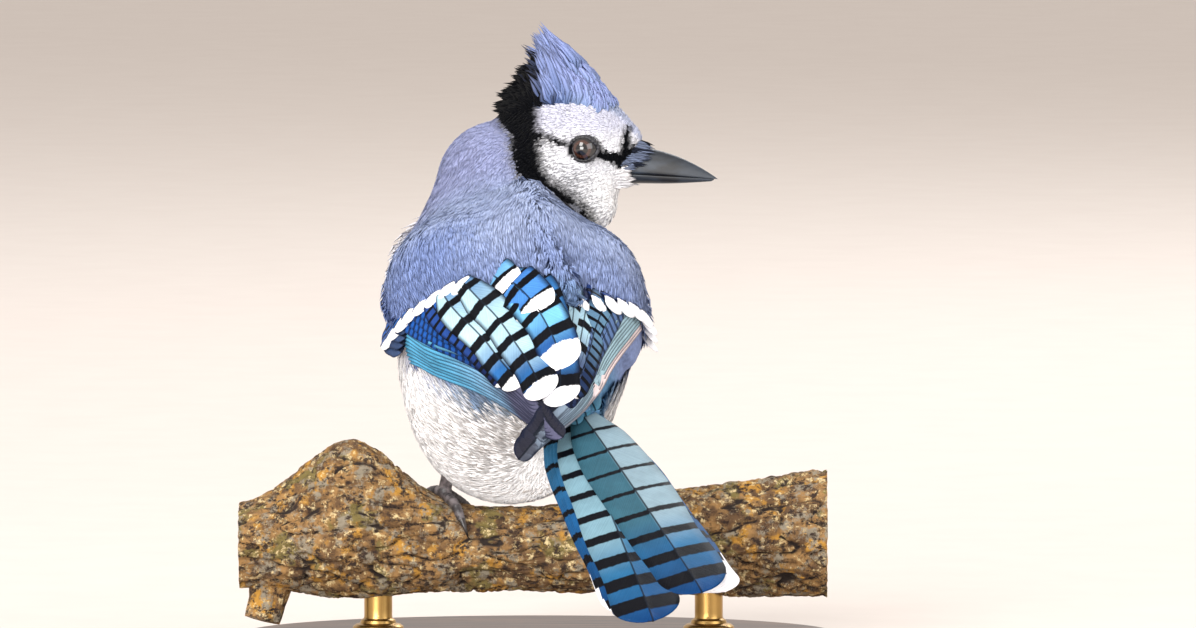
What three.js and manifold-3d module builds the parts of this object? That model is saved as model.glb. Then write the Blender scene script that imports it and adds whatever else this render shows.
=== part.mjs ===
// A blue jay at life size, seen from behind as it looks back over its right shoulder, on a cut length of
// branch held up by a plain display stand. Units are millimetres and +Z is up. The origin is the middle of
// the stand base's underside, and the bird's back is towards -Y.
import * as THREE from "three";
import { mergeVertices } from "three/addons/utils/BufferGeometryUtils.js";
import Module from "manifold-3d";

const wasm = await Module();
wasm.setup();

const V = (x, y, z) => new THREE.Vector3(x, y, z);
const rad = THREE.MathUtils.degToRad;
const { lerp, clamp, smoothstep } = THREE.MathUtils;

// Driving dimensions of the whole
const GAP = 0.3; // left between nodes that touch
const TRUNK_LENGTH = 100;
const TRUNK_WIDTH = 64;
const TRUNK_DEPTH = 67;
const TRUNK_YAW = rad(10);
const TRUNK_PITCH = rad(38);
const TRUNK_CENTRE = V(-4, 6, 98);
const HEAD_CENTRE = V(7, 40, 144.5);
const HEAD_YAW = rad(-10); // from +X towards the viewer behind the bird
const BILL_REACH = 44.6; // from the head's centre to the bill's tip
const EYE_RADIUS = 4.4;
const EYE_SUNK = 3.2; // from the skin in to the eyeball's centre
const TAIL_LENGTH = 120;
const VANE_THICKNESS = 0.8;
const BASE_THICKNESS = 8;
const ROD_RADIUS = 4;

// The trunk's own axes: forward to the neck, left, and up out of the back.
const forward = V(
  -Math.sin(TRUNK_YAW) * Math.cos(TRUNK_PITCH),
  Math.cos(TRUNK_YAW) * Math.cos(TRUNK_PITCH),
  Math.sin(TRUNK_PITCH),
);
const left = V(-Math.cos(TRUNK_YAW), -Math.sin(TRUNK_YAW), 0);
const up = forward.clone().cross(left);

// The head's own axes, level and turned back over the right shoulder.
const headForward = V(Math.cos(HEAD_YAW), Math.sin(HEAD_YAW), 0);
const headLeft = V(-Math.sin(HEAD_YAW), Math.cos(HEAD_YAW), 0);
const headUp = V(0, 0, 1);

function along(origin, axes, [a, b, c]) {
  return origin
    .clone()
    .addScaledVector(axes[0], a)
    .addScaledVector(axes[1], b)
    .addScaledVector(axes[2], c);
}
const TRUNK_AXES = [forward, left, up];
const HEAD_AXES = [headForward, headLeft, headUp];
const onTrunk = (...offset) => along(TRUNK_CENTRE, TRUNK_AXES, offset);
const onHead = (...offset) => along(HEAD_CENTRE, HEAD_AXES, offset);

// Solids and geometries

function solidOf(geometry, reach = 1e-4) {
  const bare = new THREE.BufferGeometry();
  bare.setAttribute("position", geometry.getAttribute("position"));
  if (geometry.index) bare.setIndex(geometry.index);
  const merged = mergeVertices(bare, reach);
  return new wasm.Manifold(
    new wasm.Mesh({
      numProp: 3,
      vertProperties: new Float32Array(merged.attributes.position.array),
      triVerts: new Uint32Array(merged.index.array),
    }),
  );
}

function geometryOf(solid) {
  const { numVert, numProp, vertProperties, triVerts } = solid.getMesh();
  const position = new Float32Array(numVert * 3);
  for (let i = 0; i < numVert; i++)
    position.set(vertProperties.subarray(i * numProp, i * numProp + 3), i * 3);
  const geometry = new THREE.BufferGeometry();
  geometry.setAttribute("position", new THREE.BufferAttribute(position, 3));
  geometry.setIndex(new THREE.BufferAttribute(triVerts, 1));
  geometry.computeVertexNormals();
  return geometry;
}

const join = (solids) => solids.reduce((sum, each) => sum.add(each));

function largest(solid) {
  return solid
    .decompose()
    .reduce((best, each) => (each.volume() > best.volume() ? each : best));
}

// Keeps what lies on the normal's side of the plane through a point.
const keepBeyond = (solid, point, normal) =>
  solid.trimByPlane(normal.toArray(), point.dot(normal));

// A closed skin over rings of equal length, with flat ends. Each ring runs the same way round.
function loft(rings) {
  const around = rings[0].length;
  const position = rings.flat().flatMap((point) => point.toArray());
  const index = [];
  for (let i = 0; i + 1 < rings.length; i++)
    for (let j = 0; j < around; j++) {
      const a = i * around + j;
      const b = i * around + ((j + 1) % around);
      index.push(a, b, b + around, a, b + around, a + around);
    }
  const last = (rings.length - 1) * around;
  for (let j = 1; j + 1 < around; j++) {
    index.push(0, j + 1, j);
    index.push(last, last + j, last + j + 1);
  }
  const geometry = new THREE.BufferGeometry();
  geometry.setAttribute("position", new THREE.Float32BufferAttribute(position, 3));
  geometry.setIndex(index);
  const solid = solidOf(geometry);
  return solid.volume() < 0 ? loft(rings.map((ring) => [...ring].reverse())) : solid;
}

// A round limb along points, with a radius at each.
function limb(points, radii, sides = 8) {
  const path = new THREE.CatmullRomCurve3(points);
  const steps = points.length - 1;
  const { normals, binormals } = path.computeFrenetFrames(steps);
  const rings = points.map((point, i) =>
    Array.from({ length: sides }, (_, j) => {
      const turn = (j / sides) * 2 * Math.PI;
      return point
        .clone()
        .addScaledVector(normals[i], radii[i] * Math.cos(turn))
        .addScaledVector(binormals[i], radii[i] * Math.sin(turn));
    }),
  );
  return loft(rings);
}

// The flesh is a smooth union of these forms, each a function that gives the distance to its surface.

const ellipsoid = (centre, axes, semi) => (p) => {
  const d = p.clone().sub(centre);
  const q = axes.map((axis, i) => d.dot(axis) / semi[i]);
  const k0 = Math.hypot(...q);
  const k1 = Math.hypot(...q.map((value, i) => value / semi[i]));
  return k1 > 0 ? (k0 * (k0 - 1)) / k1 : -Math.min(...semi);
};

const cone = (a, b, radiusA, radiusB) => (p) => {
  const line = b.clone().sub(a);
  const t = clamp(p.clone().sub(a).dot(line) / line.lengthSq(), 0, 1);
  return p.distanceTo(a.clone().lerp(b, t)) - lerp(radiusA, radiusB, t);
};

const blendOf = (parts, width) => (p) =>
  parts.reduce((sum, part) => {
    const d = part(p);
    if (sum === null) return d;
    const h = Math.max(width - Math.abs(sum - d), 0) / width;
    return Math.min(sum, d) - (h * h * width) / 4;
  }, null);

const TRUNK_SEMI = [TRUNK_LENGTH / 2, TRUNK_WIDTH / 2, TRUNK_DEPTH / 2];
const trunkForms = [
  ellipsoid(TRUNK_CENTRE, TRUNK_AXES, TRUNK_SEMI),
  ellipsoid(onTrunk(14, 0, 7), TRUNK_AXES, [28, 36.5, 27]), // mantle and shoulders
  ellipsoid(onTrunk(26, 0, -13), TRUNK_AXES, [28, 30, 24]), // breast
  ellipsoid(V(-8.5, 0.5, 72), TRUNK_AXES, [27, 28.5, 27]), // belly
  ellipsoid(onTrunk(-6, 9, -12), TRUNK_AXES, [27, 27, 22]), // left flank
  cone(onTrunk(20, 0, -14), V(-8.5, 0.5, 74), 25, 27), // between breast and belly
  cone(onTrunk(-20, -1, 5), onTrunk(-46, -5, 8), 24, 11), // rump
];
const neckForms = [cone(V(-9, 30, 119), V(-5, 37, 136), 28, 22.5)];
const headForms = [
  ellipsoid(onHead(-1, 0, 1), HEAD_AXES, [17.5, 13.5, 13]), // skull
  ellipsoid(onHead(5, 0, 4.5), HEAD_AXES, [13, 10, 9.5]), // forehead
  ellipsoid(onHead(0, 0, -5), HEAD_AXES, [15, 13, 10]), // cheeks
  cone(onHead(8, 0, -2.5), onHead(18, 0, -5), 9.6, 5.2), // face
  cone(onHead(2, 0, -8), onHead(14, 0, -8), 8, 3.6), // chin
  cone(onHead(-13, 0, -2), onHead(-12, 0, 6), 10, 8), // nape
  ellipsoid(onHead(-2, 0, 11.5), HEAD_AXES, [13.5, 7, 13]), // core of the crest
];
const trunkDistance = blendOf([...trunkForms, ...neckForms], 9);
const headDistance = blendOf(headForms, 5);
const bodyDistance = blendOf([trunkDistance, headDistance], 7);

function slopeOf(distance, p) {
  const e = 0.05;
  const axes = [V(e, 0, 0), V(0, e, 0), V(0, 0, e)];
  return V(
    ...axes.map((step) => distance(p.clone().add(step)) - distance(p.clone().sub(step))),
  ).normalize();
}

// How far from a point inside to the surface along a direction.
function reachOf(distance, from, direction) {
  const step = 2;
  let t = 0;
  const at = (value) => distance(from.clone().addScaledVector(direction, value));
  while (at(t) < 0) t += step;
  let low = t - step;
  for (let i = 0; i < 16; i++) {
    const middle = (low + t) / 2;
    if (at(middle) < 0) low = middle;
    else t = middle;
  }
  return t;
}

// A solid whose surface is all in sight of its centre. The cuts are planes that bound it.
function grown(centre, distance, detail, cuts = [], margin = 0, farthest = Infinity) {
  const spare = farthest < Infinity ? 2.5 : 7; // past each cut, which a clean trim takes off
  const bounded = (p) =>
    Math.max(
      distance(p) - margin,
      p.distanceTo(centre) - farthest,
      ...cuts.map(([point, normal]) => point.clone().sub(p).dot(normal) - spare),
    );
  const ball = new THREE.IcosahedronGeometry(1, detail);
  const position = ball.getAttribute("position");
  const known = new Map();
  for (let i = 0; i < position.count; i++) {
    const direction = new THREE.Vector3().fromBufferAttribute(position, i).normalize();
    const key = direction.toArray().map((value) => value.toFixed(4)).join();
    if (!known.has(key))
      known.set(
        key,
        centre.clone().addScaledVector(direction, reachOf(bounded, centre, direction)),
      );
    position.setXYZ(i, ...known.get(key).toArray());
  }
  return cuts.reduce(
    (solid, [point, normal]) => keepBeyond(solid, point, normal),
    solidOf(ball),
  );
}

// Where the trunk, neck and head part
const NECK_CUT = { point: V(-8, 30, 126), normal: V(-0.19, 0.25, 0.95).normalize() };
const HEAD_CUT = { point: V(-4, 39, 139), normal: V(0.69, 0.1, 0.717).normalize() };

function cutAt({ point, normal }, side) {
  const facing = normal.clone().multiplyScalar(side);
  return [point.clone().addScaledVector(facing, GAP / 2), facing];
}

// Perch: a length of old branch along X with a burl under the left foot

const PERCH_ENDS = [-86, 82];
const PERCH_TOP = 43.5;
const PERCH_BOTTOM = 19.5;
const BURL_AT = -54;
const BURL_HEIGHT = 19;
const BURL_SPREAD = 19;
const PERCH_STATIONS = 25;
const PERCH_SIDES = 16;

function perchSection(x) {
  const burl = Math.exp(-(((x - BURL_AT) / BURL_SPREAD) ** 2));
  const rise = 0.13 * Math.max(0, x);
  const top = PERCH_TOP + BURL_HEIGHT * burl + rise;
  const bottom = PERCH_BOTTOM - 3 * burl - 0.02 * x;
  return { middle: (top + bottom) / 2, high: (top - bottom) / 2, wide: 12.6 + 4 * burl + 0.3 * rise };
}

// A point on the perch: turn 0 is its top and a quarter turn its far side. Lift is outwards.
function onPerch(x, turn, lift = 0) {
  const { middle, high, wide } = perchSection(x);
  const lump = 0.7 * Math.sin(3 * turn + 0.09 * x) + 0.5 * Math.sin(5 * turn - 0.17 * x + 1);
  const bark = 1 + (lump * Math.min(1, Math.abs(Math.sin(turn)) * 1.5)) / wide;
  const stretch = 1 + lift / Math.min(high, wide);
  return V(
    x,
    wide * bark * stretch * Math.sin(turn),
    middle + high * bark * stretch * Math.cos(turn),
  );
}

function perchSolid(lift = 0) {
  const [start, end] = PERCH_ENDS;
  const rings = Array.from({ length: PERCH_STATIONS }, (_, i) => {
    const x = lerp(start - lift, end + lift, i / (PERCH_STATIONS - 1));
    return Array.from({ length: PERCH_SIDES }, (_, j) =>
      onPerch(x, (j / PERCH_SIDES) * 2 * Math.PI, lift),
    );
  });
  const stub = limb(
    [V(-75, 2, 26), V(-77, 0, 17), V(-79, -1, 11)],
    [6 + lift, 5 + lift, 4.6 + lift],
    10,
  );
  return loft(rings).add(stub);
}

// Feathers. A vane is a thin blade, given by points along its shaft, its half width at each,
// the side that its width runs to and the way its upper face looks.

const ROUND_TIP = [0.45, 0.85, 1, 0.96, 0.6, 0.12];
const SHORT_TIP = [0.45, 0.95, 1, 0.62, 0.12];
const POINTED_TIP = [0.6, 1, 0.7, 0.12];

function vane(shaft, halfWidth, sideOf, faceOf, outline = ROUND_TIP, grow = 0) {
  const last = outline.length - 1;
  const rings = outline.map((share, i) => {
    const u = i / last;
    const eased = 1 - (1 - u) ** 1.35;
    const point = shaft(eased);
    const side = sideOf(eased, point);
    const face = faceOf(eased, point);
    if (i === 0 || i === last) {
      const inner = shaft(i ? 0.97 : 0.03);
      point.addScaledVector(point.clone().sub(inner).normalize(), grow);
    }
    const wide = halfWidth * share + grow;
    const thick = grow + (VANE_THICKNESS / 2) * (i === last ? 0.5 : 1);
    return [
      point.clone().addScaledVector(side, -wide),
      point.clone().addScaledVector(face, thick),
      point.clone().addScaledVector(side, wide),
      point.clone().addScaledVector(face, -thick),
    ];
  });
  return loft(rings);
}

// Wing: a curved sheet between an upper edge near the back's middle and a lower edge along the flank,
// both in the trunk's axes for the left wing. s runs from the shoulder to the tip, t from upper to lower.

const WING_UPPER = [[24, 10, 34], [4, 2, 37.5], [-16, 0.6, 37], [-36, 0.6, 32], [-54, 0.8, 25], [-66, 1, 20]];
const WING_LOWER = [[44, 21, -9], [18, 32.5, -6], [-8, 33.5, -2], [-30, 27, 5], [-53, 15, 12], [-72, 5, 17]];
const WING_CROWN = 5; // how far the sheet bows out between its edges at the shoulder
const upperEdge = new THREE.CatmullRomCurve3(WING_UPPER.map((p) => V(...p)));
const lowerEdge = new THREE.CatmullRomCurve3(WING_LOWER.map((p) => V(...p)));

// The wings cross near their tips, the left one over the right.
const WING_DRIFT = {
  left: { middle: -4, tip: -1, lift: 4 },
  right: { middle: 2, tip: 7, lift: 0 },
};

// A point on the wing's sheet, raised by a height, in the world.
function onWing(side, s, t, height) {
  const high = upperEdge.getPoint(clamp(s, 0, 1));
  const low = lowerEdge.getPoint(clamp(s, 0, 1));
  const local = high.clone().lerp(low, t);
  const across = low.clone().sub(high).normalize();
  const out = V(1, 0, 0).cross(across).normalize();
  if (out.z < 0) out.negate();
  local.addScaledVector(out, WING_CROWN * 4 * t * (1 - t) * (1 - 0.85 * s));
  const { middle, tip, lift } = side > 0 ? WING_DRIFT.left : WING_DRIFT.right;
  const shift = middle * smoothstep(s, 0.25, 0.6) + (tip - middle) * smoothstep(s, 0.7, 1);
  const point = onTrunk(local.x, side * local.y + shift, local.z + lift * smoothstep(s, 0.35, 0.65));
  const outWorld = along(V(0, 0, 0), TRUNK_AXES, [out.x, side * out.y, out.z]);
  const clear = trunkDistance(point);
  const least = GAP + 1.1 * smoothstep(s, 0.16, 0.3);
  if (clear < least) point.addScaledVector(slopeOf(trunkDistance, point), least - clear);
  return point.addScaledVector(outWorld, height);
}

// One wing feather: from (s0, t0) to (s1, t1) on the sheet, its outer edge raised over its neighbour.
function wingFeather(side, [s0, t0], [s1, t1], halfWidth, height, tilt, grow) {
  const e = 0.02;
  const thinning = (s) => 1 - 0.6 * smoothstep(s, 0.45, 0.95);
  const place = (u, lift = height) => {
    const s = lerp(s0, s1, u);
    return onWing(side, s, lerp(t0, t1, u), lift * thinning(s));
  };
  const faceOf = (u, point) => place(u, height + 2).sub(point).normalize();
  const sideOf = (u, point) => {
    const ahead = place(Math.min(u + e, 1)).sub(place(Math.max(u - e, 0)));
    const out = faceOf(u, point);
    const across = ahead.cross(out).normalize();
    const lower = onWing(side, lerp(s0, s1, u), lerp(t0, t1, u) + e, height).sub(point);
    if (across.dot(lower) < 0) across.negate();
    return across.addScaledVector(out, tilt).normalize();
  };
  return vane(place, halfWidth, sideOf, faceOf, SHORT_TIP, grow);
}

// Tiers of the wing, lowest first. Each fans evenly from its first feather to its last.
const WING_TIERS = [
  {
    name: "primary", count: 6, half: 3, height: 0.4, tilt: 0.3,
    from: [[0.4, 0.97], [1, 0.85]], to: [[0.46, 0.6], [0.86, 0.55]],
  },
  {
    name: "secondary", count: 5, half: 3.8, height: 1.9, tilt: 0.26,
    from: [[0.38, 0.8], [0.86, 0.68]], to: [[0.44, 0.38], [0.93, 0.34]],
  },
  {
    name: "tertial", count: 3, half: 5.6, height: 3.4, tilt: 0.2,
    from: [[0.4, 0.38], [0.9, 0.28]], to: [[0.38, 0.16], [0.7, 0.16]],
  },
  {
    name: "greater_covert", count: 6, half: 3.6, height: 2.9, tilt: 0.24,
    from: [[0.27, 0.84], [0.42, 0.82]], to: [[0.38, 0.24], [0.58, 0.24]],
  },
];
// Where the core runs, by s, and how high it stands there.
const WING_CORE = [[0.15, 0.2], [0.21, 1.8], [0.27, 3.3], [0.34, 3.6], [0.42, 2.4], [0.5, 1.4], [0.58, 0.6]];

function wingCore(side, grow = 0) {
  const ts = [0.05, 0.25, 0.5, 0.75, 0.95];
  const rings = WING_CORE.map(([s, thick]) => {
    const heightAt = (t) => grow + thick * Math.sin(Math.PI * (0.15 + 0.7 * t));
    const top = ts.map((t) => onWing(side, s, t, heightAt(t)));
    const bottom = ts.map((t) => onWing(side, s, t, -0.6 - grow)).reverse();
    return [...top, ...bottom];
  });
  return loft(rings);
}

function wingVanes(side, grow = 0) {
  return WING_TIERS.flatMap(({ count, from, to, half, height, tilt }) =>
    Array.from({ length: count }, (_, i) => {
      const share = i / (count - 1);
      const mix = (k, m) => lerp(from[k][m], to[k][m], share);
      return wingFeather(side, [mix(0, 0), mix(0, 1)], [mix(1, 0), mix(1, 1)], half, height, tilt, grow);
    }),
  );
}

const wingSolid = (side, cutters) =>
  largest(join([wingCore(side), ...wingVanes(side)]).subtract(join(cutters)));

// Tail: tail feathers fanned from the rump, the middle pair on top, with coverts over their roots

const TAIL_ROOT = onTrunk(-46, -6.5, 8.5);
const TAIL_ALONG = V(0.285, -0.855, -0.425).normalize();
const TAIL_SIDE_HINT = V(0.94, 0.241, 0.25);
const TAIL_FACE = TAIL_ALONG.clone().cross(TAIL_SIDE_HINT).normalize();
const TAIL_SIDE = TAIL_FACE.clone().cross(TAIL_ALONG).normalize();
const TAIL_PAIRS = 6;
const TAIL_FAN = rad(1.05); // between neighbouring feathers
const TAIL_LAYER = 1.15; // between the levels of neighbouring feathers
const TAIL_HALF_WIDTH = 9.6;
const TAIL_SHORTER = 0.72; // each pair is shorter by this, times its number squared

function tailFeather(number, hand, length, halfWidth, height, angle, grow) {
  const straight = TAIL_ALONG.clone().applyAxisAngle(TAIL_FACE, hand * angle);
  const side = TAIL_FACE.clone().cross(straight).normalize();
  const root = TAIL_ROOT.clone()
    .addScaledVector(TAIL_SIDE, hand * (1.2 + 0.8 * number))
    .addScaledVector(TAIL_FACE, height);
  const shaft = (u) =>
    root.clone().addScaledVector(straight, length * u).addScaledVector(TAIL_FACE, -3 * u * u);
  return vane(shaft, halfWidth, () => side, () => TAIL_FACE, ROUND_TIP, grow);
}

function tailForms(grow = 0) {
  const forms = [];
  for (let i = 0; i < TAIL_PAIRS; i++)
    for (const hand of [-1, 1]) {
      const level = -TAIL_LAYER * (i + (hand > 0 ? 0.5 : 0));
      const length = TAIL_LENGTH - TAIL_SHORTER * i * i;
      const half = TAIL_HALF_WIDTH - 0.35 * i;
      forms.push(tailFeather(i, hand, length, half, level, TAIL_FAN * (i + 0.35), grow));
    }
  for (let i = 0; i < 3; i++)
    for (const hand of i ? [-1, 1] : [1])
      forms.push(tailFeather(1.6 * i, hand, 40 - 4 * i, 7, 2.6 - 0.9 * i, rad(2.4 * i), grow));
  const axes = [TAIL_ALONG, TAIL_SIDE, TAIL_FACE];
  const stump = new THREE.IcosahedronGeometry(1, 2);
  stump.scale(16 + grow, 9 + grow, 5.6 + grow).applyMatrix4(new THREE.Matrix4().makeBasis(...axes));
  stump.translate(...along(TAIL_ROOT, axes, [3, 0, -2.4]).toArray());
  return [solidOf(stump), ...forms];
}

// Head, with its crest as rows of tapered locks, its eyelids and the sockets of the eyes

const CREST_ROWS = [
  // where each row starts, in degrees round the head from the bill, and its tip forward and up
  { turn: 40, tip: [9.5, 18.5] },
  { turn: 54, tip: [3.5, 24.5] },
  { turn: 70, tip: [-3, 29.5] },
  { turn: 84, tip: [-8, 33.5] },
  { turn: 98, tip: [-11.5, 27] },
  { turn: 112, tip: [-14.5, 21.5] },
  { turn: 127, tip: [-18.5, 17] },
  { turn: 142, tip: [-22, 12] },
];
const CREST_ACROSS = 4;
const CREST_SPREAD = 3.4; // between locks across the crown

function crestLocks() {
  return CREST_ROWS.flatMap(({ turn, tip }, row) =>
    Array.from({ length: CREST_ACROSS }, (_, i) => {
      const across = (i - (CREST_ACROSS - 1) / 2) * CREST_SPREAD;
      const stagger = row % 2 ? 0.5 : -0.5;
      const base = onHead(-1, across + stagger, 1);
      const way = along(V(0, 0, 0), HEAD_AXES, [Math.cos(rad(turn)), 0, Math.sin(rad(turn))]);
      const reach = reachOf(headDistance, base, way);
      const root = base.clone().addScaledVector(way, reach - 2.2);
      const outer = Math.abs(i - (CREST_ACROSS - 1) / 2);
      const short = 1 - 0.13 * outer;
      const end = onHead(tip[0] - 1.2 * outer, across * 0.42 + stagger, 1 + (tip[1] - 1) * short);
      const bend = root.clone().lerp(end, 0.5).addScaledVector(headForward, 1.6);
      const path = new THREE.QuadraticBezierCurve3(root, bend, end);
      const face = headLeft.clone().multiplyScalar(Math.sign(across) || 1);
      const sideOf = (u) => path.getTangent(u).cross(face).normalize();
      return vane((u) => path.getPoint(u), 2.7, sideOf, () => face, POINTED_TIP);
    }),
  );
}

// Bristles that lie over each side of the bill's base
const BRISTLES = [
  { root: [13, 4.6, -2.6], tip: [25.5, 4.5, -4.2] },
  { root: [13, 3.2, 0.6], tip: [24.5, 3.5, -1.2] },
  { root: [12, 5.4, -6], tip: [21.5, 5.6, -8.2] },
];

function bristleTufts() {
  return [-1, 1].flatMap((hand) =>
    BRISTLES.map(({ root, tip }) => {
      const ends = [root, tip].map(([f, l, u]) => onHead(f, hand * l, u));
      const face = headLeft.clone().multiplyScalar(hand).addScaledVector(headUp, 0.3).normalize();
      const way = ends[1].clone().sub(ends[0]).normalize();
      const side = way.cross(face).normalize();
      return vane((u) => ends[0].clone().lerp(ends[1], u), 1.7, () => side, () => face, POINTED_TIP);
    }),
  );
}

function eyeAt(hand) {
  const inside = onHead(6.3, 0, -0.6);
  const way = headLeft.clone().multiplyScalar(hand);
  const skin = reachOf(bodyDistance, inside, way);
  return { way, centre: inside.addScaledVector(way, skin - EYE_SUNK) };
}

function ball(centre, radius, detail) {
  const geometry = new THREE.IcosahedronGeometry(radius, detail);
  return solidOf(geometry.translate(...centre.toArray()));
}

function lidSolid({ way, centre }) {
  const ring = new THREE.TorusGeometry(3.5, 0.75, 5, 16);
  const turn = new THREE.Quaternion().setFromUnitVectors(V(0, 0, 1), way);
  const place = centre.clone().addScaledVector(way, EYE_SUNK);
  return solidOf(ring.applyQuaternion(turn).translate(...place.toArray()));
}

function headSolid() {
  const cuts = [cutAt(HEAD_CUT, 1), cutAt(NECK_CUT, 1)];
  const skull = grown(onHead(-1, 0, 1), bodyDistance, 8, cuts, 0, 29);
  const eyes = [-1, 1].map(eyeAt);
  const whole = join([skull, ...eyes.map(lidSolid), ...crestLocks(), ...bristleTufts()]);
  const sockets = join(eyes.map(({ centre }) => ball(centre, EYE_RADIUS + GAP, 3)));
  return largest(keepBeyond(whole.subtract(sockets), ...cuts[0]));
}

// Bill: each half is a loft from inside the face to the tip.
// Distances are forward and up from the head's centre.

const BILL_STATIONS = [11, 17, 21, 25, 29, 33, 37, 40.5, BILL_REACH];
const culmenAt = (f) => -0.6 - 9 * clamp((f - 19) / (BILL_REACH - 19), 0, 1) ** 2;
const mouthAt = (f) => lerp(-7.6, -9.6, clamp((f - 11) / (BILL_REACH - 11), 0, 1));
const gonysAt = (f) => -11 + 1 * clamp((f - 28) / (BILL_REACH - 28), 0, 1) ** 1.6;
const billHalfWidth = (f) => 4.7 * (1 - clamp((f - 14) / (BILL_REACH + 0.6 - 14), 0, 1) ** 1.15);

function billHalf(edgeAt, seam, shorter) {
  const rings = BILL_STATIONS.map((f) => Math.min(f, BILL_REACH - shorter)).map((f) => {
    const wide = billHalfWidth(f);
    const flat = mouthAt(f) + seam;
    const tall = edgeAt(f) - flat;
    return [0, 1, 2, 3, 4, 5, 6].map((k) => {
      const turn = (k / 6) * Math.PI;
      return onHead(f, wide * Math.cos(turn), flat + tall * Math.sin(turn) ** 0.8);
    });
  });
  return loft(rings);
}

function billSolids(faceCutter) {
  const nostrils = join(
    [-1, 1].map((hand) => {
      const hole = new THREE.IcosahedronGeometry(1, 2).scale(1.5, 1.1, 0.75);
      hole.rotateZ(HEAD_YAW).translate(...onHead(23, hand * 3.7, -4).toArray());
      return solidOf(hole);
    }),
  );
  return {
    bill_upper: largest(billHalf(culmenAt, GAP / 2, 0).subtract(faceCutter).subtract(nostrils)),
    bill_lower: largest(billHalf(gonysAt, -GAP / 2, 1.2).subtract(faceCutter)),
  };
}

// Legs and feet. Each foot stands on the perch: three toes ahead, over its far side, and one behind.

const FOOT_PLACES = { left: -27, right: 12 };
const TOE_RADIUS = 1.5;
const TOES = [
  { number: 1, from: -0.12, to: -0.98, drift: 5 }, // the hind toe, towards the viewer
  { number: 2, from: 0.1, to: 0.82, drift: -7 },
  { number: 3, from: 0.12, to: 1.02, drift: 0 },
  { number: 4, from: 0.1, to: 0.86, drift: 7 },
];
const TOE_STATIONS = 7;
const CLAW_STATIONS = 5;
const CLAW_TURN = 0.34;

function toeParts(x, { from, to, drift }) {
  const lift = TOE_RADIUS + GAP + 0.6;
  const at = (share, height) => onPerch(x + drift * share, lerp(from, to, share), height);
  const gap = GAP / at(0.8, lift).distanceTo(at(1, lift)) / 5;
  const points = Array.from({ length: TOE_STATIONS }, (_, i) => at(i / (TOE_STATIONS - 1), lift));
  const swell = (i) => 1.15 - (0.35 * i) / (TOE_STATIONS - 1) + (i % 2 ? 0.1 : 0);
  const radii = points.map((_, i) => TOE_RADIUS * swell(i));
  const extra = CLAW_TURN / Math.abs(to - from);
  const stations = Array.from({ length: CLAW_STATIONS }, (_, i) => i / (CLAW_STATIONS - 1));
  const clawPoints = stations.map((v) => {
    const height = lift + 1.2 * Math.sin(Math.PI * v) - (lift - 0.6) * v;
    return at(1 + 1.5 * gap + extra * v, height);
  });
  const clawRadii = stations.map((v) => 1.1 - 0.82 * v);
  const toe = (grow) => limb(points, radii.map((radius) => radius + grow), 7);
  return { toe, claw: limb(clawPoints, clawRadii, 6) };
}

const TARSUS_RADII = [1.7, 1.4, 1.5, 1.9];

// The leg rises from its foot, back towards the viewer, into the feathers of the belly.
function legParts(name) {
  const x = FOOT_PLACES[name];
  const inwards = name === "left" ? 1 : -1;
  const sole = onPerch(x, -0.06, 3.1);
  const ankle = sole.clone().add(V(3 * inwards, -9, 19));
  const shaft = [0, 0.35, 0.7, 1].map((u) => sole.clone().lerp(ankle, u));
  const toes = TOES.map((toe) => ({ number: toe.number, ...toeParts(x, toe) }));
  const tarsus = (grow) => {
    const ends = shaft.map((point, i) => point.clone().lerp(shaft[3 - i], i % 3 ? 0 : -0.05 * grow));
    return limb(ends, TARSUS_RADII.map((radius) => radius + grow));
  };
  return { sole, tarsus, toes };
}

// Stand

const BASE_HALF = [86, 56];
const BASE_EDGE = 1.2;
const ROD_PLACES = { left: -46, right: 48 };

function baseGeometry() {
  const outline = new THREE.Shape();
  outline.absellipse(0, 0, BASE_HALF[0] - BASE_EDGE, BASE_HALF[1] - BASE_EDGE, 0, 2 * Math.PI);
  return new THREE.ExtrudeGeometry(outline, {
    depth: BASE_THICKNESS - 2 * BASE_EDGE,
    bevelThickness: BASE_EDGE,
    bevelSize: BASE_EDGE,
    bevelSegments: 1,
    curveSegments: 20,
  }).translate(0, 0, BASE_EDGE);
}

function rodSolid(x, perchCutter) {
  const height = perchSection(x).middle - BASE_THICKNESS - GAP;
  const rod = new THREE.CylinderGeometry(ROD_RADIUS, ROD_RADIUS, height, 20);
  rod.rotateX(Math.PI / 2).translate(x, 0, BASE_THICKNESS + GAP + height / 2);
  return largest(solidOf(rod).subtract(perchCutter));
}

// Finishes

const finish = (colour, roughness, metalness = 0) =>
  new THREE.MeshStandardMaterial({ color: colour, roughness, metalness });
const FINISHES = {
  mantle: finish(0x7f8cbe, 0.75),
  wing: finish(0x3f7fc0, 0.6),
  tail: finish(0x4a95c4, 0.6),
  white: finish(0xe9e7e6, 0.85),
  bill: finish(0x2d3338, 0.35),
  eye: finish(0x2a1810, 0.1),
  leg: finish(0x33363a, 0.5),
  bark: finish(0x8a7350, 0.9),
  base: finish(0x3a2a1e, 0.5),
  rod: finish(0xb08a4a, 0.3, 0.9),
};

// Assembly

const bird = new THREE.Group();

// True where each edge has one face on either side once near vertices are one.
function isClean(geometry) {
  const { position } = geometry.attributes;
  const names = Array.from({ length: position.count }, (_, i) =>
    [position.getX(i), position.getY(i), position.getZ(i)].map((value) => value.toFixed(3)).join(),
  );
  const edges = new Map();
  const { array } = geometry.index;
  for (let i = 0; i < array.length; i++) {
    const next = i % 3 === 2 ? i - 2 : i + 1;
    const edge = [names[array[i]], names[array[next]]].sort().join(" ");
    edges.set(edge, (edges.get(edge) ?? 0) + 1);
  }
  return [...edges.values()].every((count) => count === 2);
}

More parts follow.
